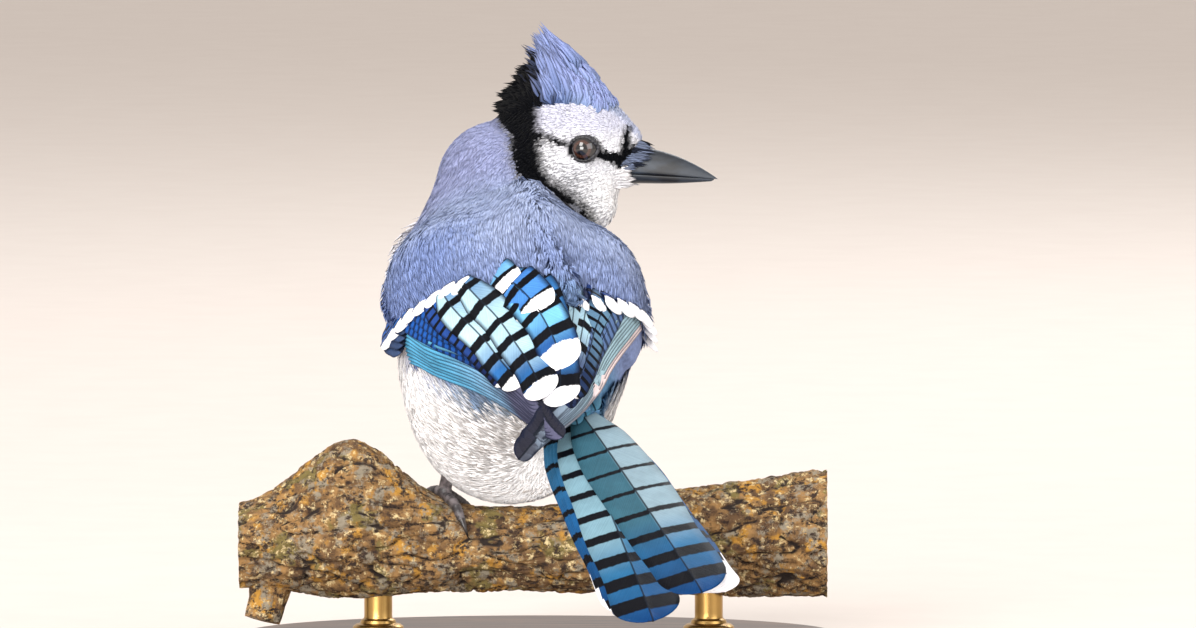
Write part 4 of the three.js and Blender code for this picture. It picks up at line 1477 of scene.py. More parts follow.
@dataclass
class Crest:
    """Long narrow feathers that rise from the crown to a point, blue in front and black behind."""

    count: int = 420
    spread: float = 8.2
    seed: int = 5

    def build(self) -> Piece:
        """Grows the crest's feathers.

        Returns:
            The crest.
        """
        random = np.random.default_rng(self.seed)
        turn = random.uniform(32, 152, self.count)
        across = random.uniform(-1, 1, self.count) * self.spread
        angle = np.radians(turn)
        base = HEAD.world(np.stack([np.full(self.count, -1.0), across, np.full(self.count, 1.0)], 1))
        way = HEAD.turn(np.stack([np.cos(angle), 0 * angle, np.sin(angle)], 1))
        root = base + way * (reach_of(head_distance, base, way) - 2.0)[:, None]
        f, u = (np.interp(turn, CREST_TURNS, each) for each in (CREST_FORWARD, CREST_UP))
        outer = np.abs(across) / self.spread
        short = random.uniform(0.45, 1.0, self.count) ** 0.45 * (1 - 0.3 * outer**1.5)
        peak = 0.07 * np.exp(-(((turn - 80) / 9) ** 2))
        notched = 0.2 * np.maximum(0, np.sin(turn * 0.52)) ** 3 - 0.06
        spike = 1 + peak + np.where(turn > 94, notched, 0)
        end = HEAD.world(np.stack([f, across * 0.3, u], 1))
        end = root + (end - root) * (short * spike)[:, None] + random.normal(0, 0.35, (self.count, 3))
        bend = (root + end) / 2 + HEAD.rows[0] * 1.5 + HEAD.turn([0, 1, 0]) * (across * 0.12)[:, None]
        k = np.linspace(0, 1, 4)[None, :, None]
        line = root[:, None] * (1 - k) ** 2 + 2 * bend[:, None] * k * (1 - k) + end[:, None] * k**2
        along = unit(np.gradient(line, axis=1))
        out = HEAD.turn(np.stack([0 * across, np.sign(across) * 0.6 + across * 0.2, 0 * across], 1))
        out = unit(out + random.normal(0, 0.25, out.shape))[:, None] + 0 * along
        face = unit(out - along * dot(out, along)[..., None])
        side = np.cross(face, along)
        dark = ease(turn + random.normal(0, 5, self.count), 96, 108)
        deep = ease(turn, 62, 92)
        blue = paint_over(all_of(CREST_BLUE, self.count), 0.75 * deep, DEEP_BLUE)
        tip = paint_over(all_of(CREST_TIP, self.count), 0.4 * deep, CREST_BLUE)
        length = np.linalg.norm(end - root, axis=1)
        width = np.clip(length * 0.3, 2.2, 4.2)
        blue, tip = paint_over(blue, dark, BLACK), paint_over(tip, dark, BLACK)
        tufts = Tufts(
            line, side, face, width, blue * 0.9, tip, bake_place(root), strands=5, thick=0.14, fray=0.3,
            spread=(0.35, 1, 0.8, 0.3), seed=self.seed,
        )
        return dress(tufts.build("crest"), DownFinish("crest feathers", 0.62).make())


# Forms drawn as a grid and bent into place


def surface(name: str, columns: int, rows: int, place: Bend) -> Piece:
    """A closed form bent from a flat grid.

    Args:
        name: the piece's name.
        columns: faces around it.
        rows: faces along it.
        place: gives a point in millimetres for each share around and along.
    Returns:
        The piece, its seam and ends merged and its faces turned out.
    """
    bpy.ops.object.select_all(action="DESELECT")
    bpy.ops.mesh.primitive_grid_add(x_subdivisions=columns, y_subdivisions=rows, size=1)
    made = bpy.context.object
    made.name = made.data.name = name
    flat = points_of(made) * MM + 0.5
    set_points(made, place(np.round(flat[:, 0], 6), np.round(flat[:, 1], 6)))
    settled(made)
    return smooth_all(outward(made))


def frames_along(line: Array) -> tuple[Array, Array]:
    """Directions along a line, without a twist.

    Args:
        line: its points.
    Returns:
        The ways aside and above at each point.
    """
    along = unit(np.gradient(line, axis=0))
    above = np.zeros_like(line)
    first = np.array([0.0, 0, 1]) if abs(along[0, 2]) < 0.8 else np.array([1.0, 0, 0])
    above[0] = unit(first - along[0] * (first @ along[0]))
    for i in range(1, len(line)):
        above[i] = unit(above[i - 1] - along[i] * (above[i - 1] @ along[i]))
    return np.cross(above, along), above


def tube(name: str, points: Sequence[Sequence[float]], radius: Bend, around: int, rows: int) -> Piece:
    """A round-ended tube along a curve.

    Args:
        name: the piece's name.
        points: what its middle runs through.
        radius: gives the radius for each share around and along.
        around: faces around it.
        rows: faces along it.
    Returns:
        The closed piece.
    """
    share = np.linspace(0, 1, rows + 1)
    line = through(points, share)
    aside, above = frames_along(line)

    def place(u: Array, v: Array) -> Array:
        """A point of the tube's wall, drawn in to the middle at both ends."""
        at = np.rint(v * rows).astype(int)
        angle = (u % 1) * 2 * np.pi
        close = np.where((at == 0) | (at == rows), 0.0, 1.0)
        wide = (radius(u % 1, v) * close)[:, None]
        across = aside[at] * np.cos(angle)[:, None] * wide
        return line[at] + across + above[at] * np.sin(angle)[:, None] * wide

    return surface(name, around, rows, place)


def ends_round(v: Array, part: float = 0.04) -> Array:
    """A factor that rounds off both ends of a tube."""
    near = np.clip(np.minimum(v, 1 - v) / part, 0, 1)
    return np.sqrt(np.clip(1 - (1 - near) ** 2, 0, 1))


# Perch, base and rods

FEET = {"left": -27.0, "right": 12.0}


@dataclass
class Perch:
    """The short cut branch: swollen at the left, rising to the right, with cracked bark."""

    ends: tuple[float, float] = (-86.0, 82.0)
    top: float = 43.5
    bottom: float = 19.5
    columns: int = 230
    rows: int = 300
    end_wall: float = 0.05
    stub: tuple[Triple, ...] = ((-72, 1, 30), (-76, 1.5, 24), (-77.5, 0, 17), (-79, -1, 11))
    stub_radii: tuple[float, ...] = (7.5, 6.4, 5.4, 4.8)

    def section(self, x: Array) -> tuple[Array, Array, Array]:
        """Half width, middle and half height at places along the branch."""
        burl, rise = np.exp(-(((x + 54) / 19) ** 2)), 0.13 * np.maximum(0, x)
        top = self.top + 19 * burl + rise
        bottom = self.bottom - 3 * burl - 0.02 * x
        return 12.6 + 4 * burl + 0.3 * rise, (top + bottom) / 2, (top - bottom) / 2

    def on(self, x: Array | float, turn: Array | float, lift: Array | float) -> Array:
        """Points on the bark, or over it by a lift. Turn 0 is the top."""
        x, turn, lift = np.broadcast_arrays(*(np.asarray(each, float) for each in (x, turn, lift)))
        wide, middle, high = self.section(x)
        lump = 0.7 * np.sin(3 * turn + 0.09 * x) + 0.5 * np.sin(5 * turn - 0.17 * x + 1)
        bark = 1 + lump * np.minimum(1, 1.5 * np.abs(np.sin(turn))) / wide
        stretch = 1 + lift / np.minimum(high, wide)
        y, z = wide * bark * stretch * np.sin(turn), middle + high * bark * stretch * np.cos(turn)
        return np.stack([x, y, z], -1)

    def distance(self, p: Array) -> Array:
        """About how far points lie outside the branch."""
        wide, middle, high = self.section(np.clip(p[:, 0], *self.ends))
        reach = np.hypot(p[:, 1] / wide, (p[:, 2] - middle) / high)
        return (reach - 1) * np.minimum(wide, high)

    def cleared(self, p: Array, gap: float) -> Array:
        """Points moved out of the branch, away from its middle."""
        wide, middle, high = self.section(np.clip(p[:, 0], *self.ends))
        centre = np.stack([p[:, 0], 0 * wide, middle], 1)
        reach = np.hypot(p[:, 1] / wide, (p[:, 2] - middle) / high)
        need = 1 + gap / np.minimum(wide, high)
        return centre + (p - centre) * np.maximum(need / np.maximum(reach, 0.05), 1)[:, None]

    @staticmethod
    def relief(p: Array) -> Array:
        """How high the bark stands, 0 to 1: long plates with cracks between them.

        Args:
            p: points on the branch.
        Returns:
            A height for each point.
        """
        def height(x: float, y: float, z: float) -> float:
            """The relief at one place."""
            warp = noise.noise(Vector((x * 0.05, y * 0.09, z * 0.09))) * 6
            plate = 1 - abs(noise.noise(Vector((x * 0.055 + warp * 0.1, (y + warp) * 0.2, z * 0.2)))) * 2
            crack = 1 - abs(noise.noise(Vector((x * 0.16, y * 0.3 + 9, z * 0.3)))) * 1.7
            grain = noise.fractal(Vector((x * 0.25, y * 0.6, z * 0.6)), 0.9, 2.1, 4)
            return 0.78 - 0.62 * max(plate, 0) ** 6 - 0.3 * max(crack, 0) ** 8 + 0.2 * grain

        return np.clip([height(*each) for each in p.tolist()], 0, 1)

    def limb(self) -> Piece:
        """The stub of a cut side limb, with its own cracks."""

        def radius(u: Array, v: Array) -> Array:
            """The stub's radius, rippled round and along."""
            ripple = 0.25 * np.sin(u * 2 * np.pi * 7 + v * 5) + 0.2 * np.sin(u * 2 * np.pi * 11 - v * 9)
            return np.interp(v, [0, 0.33, 0.66, 1], self.stub_radii) + ripple * 0.8

        made = tube("cut limb", self.stub, radius, 64, 50)
        points = points_of(made)
        low = points[:, 2] < points[:, 2].min() + 0.9
        rings = np.hypot(points[:, 0] + 79, points[:, 1] + 1)
        set_vector(made, "relief", np.stack([self.relief(points), low.astype(float), rings], 1))
        return made

    def build(self) -> Piece:
        """Bends, cracks and dresses the branch.

        Returns:
            The branch with its stub.
        """
        first, last = self.ends
        wall = self.end_wall

        def place(u: Array, v: Array) -> Array:
            """The bark, and the cut ends where v is near 0 or 1."""
            turn = (u % 1) * 2 * np.pi
            along = np.clip((v - wall) / (1 - 2 * wall), 0, 1)
            x = first + (last - first) * along
            rim = self.on(x, turn, 0.0)
            _, middle, _ = self.section(x)
            inwards = np.clip(np.maximum(wall - v, v - 1 + wall) / wall, 0, 1)
            centre = np.stack([x, 0 * x, middle], -1)
            return rim + (centre - rim) * inwards[:, None]

        branch = surface("branch", self.columns, self.rows, place)
        points = points_of(branch)
        high = self.relief(points)
        _, middle, _ = self.section(points[:, 0])
        out = unit(np.stack([0 * middle, points[:, 1], points[:, 2] - middle], 1))
        radius = np.hypot(points[:, 1], points[:, 2] - middle)
        at_end = (points[:, 0] < first + 0.01) | (points[:, 0] > last - 0.01)
        cut = at_end & (self.distance(points) < -2.0)
        left, right = (ease(np.abs(points[:, 0] - FEET[foot]), 4, 13) for foot in ("left", "right"))
        feet = left * right
        upper = ease(points[:, 2] - middle, 0, 6)
        raised = (high - 0.72) * 2.6 * np.where(upper > 0, 1 - 0.7 * upper * (1 - feet), 1)
        rough = np.array([noise.noise(Vector((x * 0.3, y * 0.5, z * 0.5))) for x, y, z in points.tolist()])
        end_way = np.where(points[:, 0] < 0, -1.0, 1.0)
        points = points + out * np.where(cut, 0, raised)[:, None]
        points[:, 0] += np.where(at_end, end_way * rough * 0.5 - end_way * 0.6, 0)
        set_points(branch, points)
        set_vector(branch, "relief", np.stack([high, cut.astype(float), radius], 1))
        branch = joined([branch, self.limb()], "branch")
        dress(branch, BarkFinish("lichened bark").make())
        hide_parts("perch")
        return branch


@dataclass
class Stand:
    """The oval walnut base on a small turned foot, and two brass rods that carry the branch."""

    half_long: float = 86.0
    half_deep: float = 56.0
    thick: float = 8.0
    rods: tuple[float, float] = (-46.0, 48.0)
    radius: float = 4.0

    def base(self) -> Piece:
        """Turns the base's edge: a small foot, a cove and a rounded top.

        Returns:
            The base.
        """
        foot = [(2.6, 0), (2.2, 0), (1.4, 0), (1.1, 0.25), (1.1, 1.0), (0, 1.6), (0, 3), (0, 5.2)]
        edge = [(0.25, 6.1), (0.9, 6.8), (1.5, 7), (1.7, 7.15), (2, 7.6), (2.6, 7.9), (3.4, 8), (4.4, 8)]
        stops = np.linspace(0, 1, len(foot) + len(edge) + 2)
        draw, level = np.array([(99, 0), *foot, *edge, (99, self.thick)], float).T

        def place(u: Array, v: Array) -> Array:
            """A point of the turned oval."""
            angle = (u % 1) * 2 * np.pi
            back = np.interp(v, stops, draw)
            shrink = np.where((v < 0.001) | (v > 0.999), 0.0, 1.0)
            span = np.minimum(back, self.half_deep)
            x = (self.half_long - span * shrink) * np.cos(angle) * shrink
            y = (self.half_deep - span * shrink) * np.sin(angle) * shrink
            return np.stack([x, y, np.interp(v, stops, level)], -1)

        made = surface("base", 180, 64, place)
        dress(made, WoodFinish("oiled walnut").make())
        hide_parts("stand_base")
        return made

    def rod(self, name: str, x: float) -> Piece:
        """One rod with a turned collar at its foot.

        Args:
            name: the piece's name.
            x: where it stands.
        Returns:
            The rod.
        """
        _, middle, _ = Perch().section(np.array([x]))
        top = float(middle[0])
        r, foot = self.radius, self.thick
        profile = [(0, foot), (7.2, foot), (7.4, 8.5), (7.2, 9.6), (6.4, 10.2), (5.2, 10.5), (4.9, 11.4)]
        profile += [(4.1, 11.9), (r, 12.4), (r, top - 14), (r, top - 1), (0, top)]
        radii, levels = np.array(profile, float).T
        stops = np.linspace(0, 1, len(profile))

        def place(u: Array, v: Array) -> Array:
            """A point of the turned rod."""
            angle, r = (u % 1) * 2 * np.pi, np.interp(v, stops, radii)
            return np.stack([x + r * np.cos(angle), r * np.sin(angle), np.interp(v, stops, levels)], -1)

        return dress(surface(name, 48, 66, place), BrassFinish("satin brass").make())

    def build(self) -> list[Piece]:
        """Makes the base and both rods."""
        made = [self.base()]
        for name, x in zip(("left", "right"), self.rods):
            made.append(self.rod(f"rod_{name}", x))
            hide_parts(f"stand_rod_{name}")
        return made


# Legs, toes and claws

Toe = tuple[int, float, float, float]

# Each toe's number, its start and end as turns round the branch, and its drift along it
TOES: tuple[Toe, ...] = (
    (1, -0.12, -0.98, 5.0),
    (2, 0.1, 0.82, -7.0),
    (3, 0.12, 1.02, 0.0),
    (4, 0.1, 0.86, 7.0),
)
SHANK_SHARES = [0, 0.12, 0.35, 0.62, 0.8, 1]
SHANK_RADII = [1.9, 1.75, 1.42, 1.4, 1.9, 1.8]


@dataclass
class Leg:
    """One leg: a scaled shank, four toes gripping the branch and their claws."""

    name: str
    x: float
    inwards: float
    lift: float = 1.75

    def scales(self, v: Array, u: Array, count: int) -> Array:
        """Raised scales across the front of a shank or the top of a toe."""
        phase = (v * count) % 1
        front = np.clip(np.cos((u - 0.25) * 2 * np.pi), 0, 1) ** 0.5
        return 0.16 * (phase - 0.4) * front + 0.05 * np.sin(u * 2 * np.pi * 9 + v * 60) * (1 - front)

    def toe_line(self, toe: Toe, share: Array, height: Array | float) -> Array:
        """Points along a toe that lies round the branch."""
        _, start, end, drift = toe
        return Perch().on(self.x + drift * share, start + (end - start) * share, height)

    def shank(self) -> Piece:
        """The scaled shank from the feathers to the foot."""
        sole = Perch().on(self.x, -0.06, 2.6)
        ankle = sole + np.array([3 * self.inwards, -9, 19.0])
        up = sole + (ankle - sole) * 1.35

        def radius(u: Array, v: Array) -> Array:
            """Thin in the middle, thick at the joints."""
            return np.interp(v, SHANK_SHARES, SHANK_RADII) + self.scales(v, u, 9)

        line = [sole, sole + (ankle - sole) * 0.4 + [0, -0.5, 0], ankle, up]
        return tube(f"shank_{self.name}", line, radius, 28, 90)

    def toe(self, toe: Toe) -> Piece:
        """One toe with its pads and scales.

        Args:
            toe: its place on the branch.
        Returns:
            The toe.
        """
        share = np.linspace(-0.12, 1, 9)
        line = self.toe_line(toe, share, self.lift)

        def radius(u: Array, v: Array) -> Array:
            """Pads under the joints and a taper to the claw."""
            below = np.clip(-np.sin(u * 2 * np.pi), 0, 1)
            pads = 0.16 * np.sin(v * np.pi * 6.4) ** 2 * (0.4 + below)
            return (1.66 - 0.52 * v + pads + self.scales(v, u, 12)) * ends_round(v, 0.05)

        return tube(f"toe {self.name} {toe[0]}", line, radius, 22, 84)

    def knuckle(self) -> Piece:
        """The joint that the toes grow from."""

        def radius(u: Array, v: Array) -> Array:
            """A round lump."""
            return 2.0 * ends_round(v, 0.3)

        line = [Perch().on(self.x, turn, lift) for turn, lift in ((-0.28, 1.9), (-0.06, 2.5), (0.24, 1.9))]
        return tube("knuckle", line, radius, 24, 30)

    def claw(self, toe: Toe, horn: Material) -> Piece:
        """One curved claw, blunt at its root and sharp at its tip.

        Args:
            toe: the toe that it ends.
            horn: its material.
        Returns:
            The claw.
        """
        _, start, end, _ = toe
        extra = 0.34 / abs(end - start)
        v = np.linspace(0, 1, 9)
        height = self.lift + 1.2 * np.sin(np.pi * v) - (self.lift - 0.45) * v
        line = self.toe_line(toe, 0.965 + extra * v, height)

        def radius(u: Array, v: Array) -> Array:
            """A taper with a flat underside."""
            below = np.clip(-np.sin(u * 2 * np.pi), 0, 1)
            return (1.12 - 0.98 * v**0.9) * (1 - 0.25 * below) * ends_round(v, 0.03)

        name = f"claw_{self.name}_{toe[0]}"
        made = dress(tube(f"horn_{name}", line, radius, 20, 44), horn)
        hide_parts(name)
        return made

    def build(self) -> list[Piece]:
        """Makes the leg's pieces."""
        skin = HornFinish("leg scales", (40, 37, 40), (102, 95, 97), 0.46, 0.1, 420).make()
        horn = HornFinish("claw horn", (14, 13, 15), (58, 52, 50), 0.3, 0.3, 500).make()
        shank = dress(self.shank(), skin)
        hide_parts(f"tarsus_{self.name}")
        foot = joined([self.knuckle()] + [self.toe(toe) for toe in TOES], f"toes_{self.name}")
        dress(foot, skin)
        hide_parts(f"foot_{self.name}")
        return [shank, foot] + [self.claw(toe, horn) for toe in TOES]


# Bill, eyes and the fine feathers of the face


@dataclass
class Bill:
    """Both halves of the closed bill."""

    root: float = 9.5
    reach: float = 44.6
    short: float = 1.2
    width: float = 4.7

    def mouth(self, f: Array) -> Array:
        """The line where the halves meet."""
        return -7.6 - 2.0 * np.clip((f - 11) / 33.6, 0, 1)

    def culmen(self, f: Array) -> Array:
        """The ridge of the upper half."""
        return -0.6 - 9 * np.clip((f - 19) / 25.6, 0, 1) ** 2

    def gonys(self, f: Array) -> Array:
        """The keel of the lower half."""
        return -11 + np.clip((f - 28) / 16.6, 0, 1) ** 1.6

    def half_width(self, f: Array) -> Array:
        """Half the bill's width."""
        return self.width * (1 - np.clip((f - 14) / 31.2, 0, 1) ** 1.15)

    def half(self, upper: bool) -> Piece:
        """One half as a closed form.

        Args:
            upper: whether it is the upper half.
        Returns:
            The half.
        """
        tip = self.reach if upper else self.reach - self.short

        way = 1 if upper else -1

        def place(u: Array, v: Array) -> Array:
            """A rounded ridge over a flat cutting side."""
            f = self.root + (tip - self.root) * (1 - (1 - v) ** 1.4)
            mouth, edge = self.mouth(f), self.culmen(f) if upper else self.gonys(f)
            tall = np.maximum((edge - mouth) * way, 0.0) * np.clip((tip - f) / 0.9, 0, 1) ** 0.5
            wide = np.maximum(self.half_width(f) * (1.0 if upper else 0.93), 0.0)
            wide = wide * np.clip((tip - f) / 1.4, 0, 1) ** 0.4
            angle = np.clip((u % 1) / 0.76, 0, 1) * np.pi
            floor = np.clip(((u % 1) - 0.76) / 0.24, 0, 1)
            across = np.where(floor > 0, -1 + 2 * floor, np.cos(angle)) * wide
            ridge = np.sin(angle) ** (0.72 if upper else 0.85)
            rise = tall * np.where(floor > 0, 0.12 * np.sin(np.pi * floor), ridge)
            groove = sum(0.22 * np.exp(-((angle - at) ** 2) / 0.02) for at in (0.62, np.pi - 0.62))
            if upper:
                rise = rise - np.where((floor == 0) & (f < 30), groove * ease(f, 30, 22), 0)
            height = mouth + (rise + 0.02) * way
            closed = np.where((v < 1e-6) | (v > 1 - 1e-6), 0.0, 1.0)
            middle = mouth + tall * 0.4 * way
            return HEAD.world(np.stack([f, across * closed, middle + (height - middle) * closed], -1))

        return surface("horn_upper" if upper else "horn_lower", 64, 90, place)

    def build(self) -> list[Piece]:
        """Makes and dresses both halves."""
        finish = HornFinish("bill horn", (8, 12, 18), (38, 47, 58), 0.42, 0.15, 190, (0.5, 1, 1), 0.00006)
        horn = finish.make()
        made = []
        for name, upper in (("upper", True), ("lower", False)):
            made.append(dress(self.half(upper), horn))
            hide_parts(f"bill_{name}")
        return made


@dataclass
class Eye:
    """One eye: the ball with its cornea, and the beaded rim of the lids."""

    side: int
    radius: float = 4.4
    sunk: float = 3.2
    opening: float = 3.5
    rim: float = 0.62

    def axes(self) -> Axes:
        """The eye's middle, with its axis as the last row."""
        heart = HEAD.world([7.4, 0, -0.6])
        way = HEAD.rows[1] * self.side
        reach = reach_of(body_distance, heart[None], way[None])[0]
        ahead = HEAD.rows[0]
        return Axes(heart + way * (reach - self.sunk), np.array([ahead, np.cross(way, ahead), way]))

    def ball(self, axes: Axes) -> Piece:
        """The eyeball with a cornea that bulges a little.

        Args:
            axes: the eye's middle and axis.
        Returns:
            The ball.
        """
        name = "left" if self.side > 0 else "right"
        bpy.ops.object.select_all(action="DESELECT")
        bpy.ops.mesh.primitive_uv_sphere_add(segments=64, ring_count=48, radius=1)
        made = bpy.context.object
        made.name = made.data.name = f"ball_{name}"
        ways = unit(points_of(made))
        flat = np.hypot(ways[:, 0], ways[:, 1]) * self.radius
        bulge = np.where(ways[:, 2] > 0, 0.28 * np.exp(-((flat / 2.6) ** 2)), 0)
        local = ways * (self.radius + bulge)[:, None]
        set_points(made, axes.world(local))
        share = np.where(ways[:, 2] > 0, flat / self.opening, 1.6)
        turn = np.arctan2(ways[:, 1], ways[:, 0])
        set_vector(made, "ring", np.stack([share, np.cos(turn), np.sin(turn)], 1))
        outward(smooth_all(made))
        dress(made, EyeFinish("eye").make())
        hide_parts(f"eye_{name}")
        return made

    def lids(self, axes: Axes) -> Piece:
        """The lids' rim, a beaded almond that lies on the ball.

        Args:
            axes: the eye's middle and axis.
        Returns:
            The rim.
        """
        name = "left" if self.side > 0 else "right"

        def place(u: Array, v: Array) -> Array:
            """A point of the beaded ring."""
            turn, angle = (u % 1) * 2 * np.pi, (v % 1) * 2 * np.pi
            corner = 0.5 * np.cos(turn) ** 8
            opening = self.opening * np.where(np.cos(turn) > 0, 1.04, 1.02) + corner
            beads = self.rim * (1 + 0.12 * np.sin(turn * 22))
            out = opening + beads * np.cos(angle)
            x, y = out * np.cos(turn) * 1.02, out * np.sin(turn) * 0.94
            lie = np.sqrt(np.maximum(self.radius**2 - np.minimum(opening, 4.2) ** 2, 0.2))
            return axes.world(np.stack([x, y, lie + 0.1 + beads * np.sin(angle)], -1))

        made = surface(f"lids_{name}", 132, 20, place)
        return dress(made, HornFinish("lid skin", (12, 12, 15), (40, 40, 48), 0.5, 0.15, 700).make())

    def build(self) -> list[Piece]:
        """Makes the ball and the lids."""
        axes = self.axes()
        return [self.ball(axes), self.lids(axes)]


@dataclass
class Bristles:
    """The stiff small feathers that cover the nostrils and fringe the gape and the chin."""

    seed: int = 9
    grey = srgb(104, 114, 138)
    ink = srgb(26, 30, 42)
    white = srgb(230, 228, 230)

    def rows(self, random: Draws) -> tuple[Array, ...]:
        """Places the bristles in the head's axes.

        Args:
            random: where the draws come from.
        Returns:
            Roots, tips, colours and outward ways.
        """
        made: list[tuple[Sequence[float], ...]] = []
        for side in (-1, 1):
            for _ in range(120):
                up = random.uniform(-6.0, 1.2)
                wide = np.interp(up, [-6, 1.2], [5.2, 2.0]) + random.uniform(-0.5, 0.2)
                root = [random.uniform(14, 19.5), side * wide, up]
                reach = random.uniform(3.5, 8.5) * (1.1 if up > -4 else 0.75)
                low = up * 0.75 - 2.1 + random.uniform(-0.4, 0.4)
                inky = random.uniform(0, 1) < (0.45 if up > -2 else 0.2)
                colour = self.ink if inky else self.grey * (0.6 + 0.6 * random.random())
                tip = [root[0] + reach, side * (wide * 0.82 + 0.3), low]
                made.append((root, tip, colour, [0.1, side, 0.5]))
            for _ in range(60):
                up = random.uniform(-11.5, -6.4)
                root = [random.uniform(12, 17.5), side * random.uniform(3.6, 5.2), up]
                tip = [root[0] + random.uniform(3, 6), side * 4.6, up - random.uniform(-0.3, 0.6)]
                made.append((root, tip, self.white * random.uniform(0.75, 1.05), [0.1, side, -0.3]))
        for _ in range(60):
            across = random.uniform(-3.6, 3.6)
            root = [random.uniform(12, 18), across, -10.6]
            tip = [root[0] + random.uniform(3, 6), across * 0.8, -11.6]
            made.append((root, tip, self.white * random.uniform(0.75, 1.05), [0.2, across * 0.1, -1.0]))
        return tuple(np.array(each, float) for each in zip(*made))

    def build(self) -> Piece:
        """Grows them in one piece."""
        random = np.random.default_rng(self.seed)
        roots, tips, colours, ways = self.rows(random)
        k = np.linspace(0, 1, 4)[None, :, None]
        bow = 0.45 * np.sin(np.pi * k * 0.8) - 0.25
        line = roots[:, None] + (tips - roots)[:, None] * k + ways[:, None] * bow
        line, ways = HEAD.world(line), HEAD.turn(ways)
        along = unit(np.gradient(line, axis=1))
        face = unit(ways[:, None] - along * dot(ways[:, None] + 0 * along, along)[..., None])
        side = np.cross(face, along)
        length = np.linalg.norm(tips - roots, axis=1)
        tufts = Tufts(
            line, side, face, 0.16 * length + 0.5, colours * 0.85, colours, bake_place(line[:, 0]), strands=4,
            thick=0.08, fray=0.35, spread=(0.5, 0.9, 1, 0.9), seed=self.seed,
        )
        return dress(tufts.build("bristles"), DownFinish("bristles", 0.6).make())


# Wings

AZURE = (60, 130, 200)
ICE = (170, 206, 222)
SKY = (104, 168, 208)
NAVY = (34, 70, 142)
SLATE = (92, 128, 156)
PLAIN_PERIOD = 60


def even(start: Colour, end: Colour) -> Stops:
    """A vane's colour from its root to its tip."""
    return [(0, start), (1, end)]


def unbarred(outer: Stops, inner: Stops, slant: float = 0.25, rim: float = 0.0) -> Paint:
    """The colours of a feather with no bars."""
    return Paint(outer, inner, PLAIN_PERIOD, (0, 0), (0, 0), slant, rim=rim)


@dataclass
class Quill:
    """One feather of a wing: root and tip as (s, t), its vanes' half widths, its height and its colours."""

    root: tuple[float, float]
    tip: tuple[float, float]
    half: tuple[float, float]
    height: float
    paint: Paint
    rounding: float = 1.3
    tilt: float = 7.0
    dome: float = 0.5
    stations: int = 26
    bend: float = 0.0


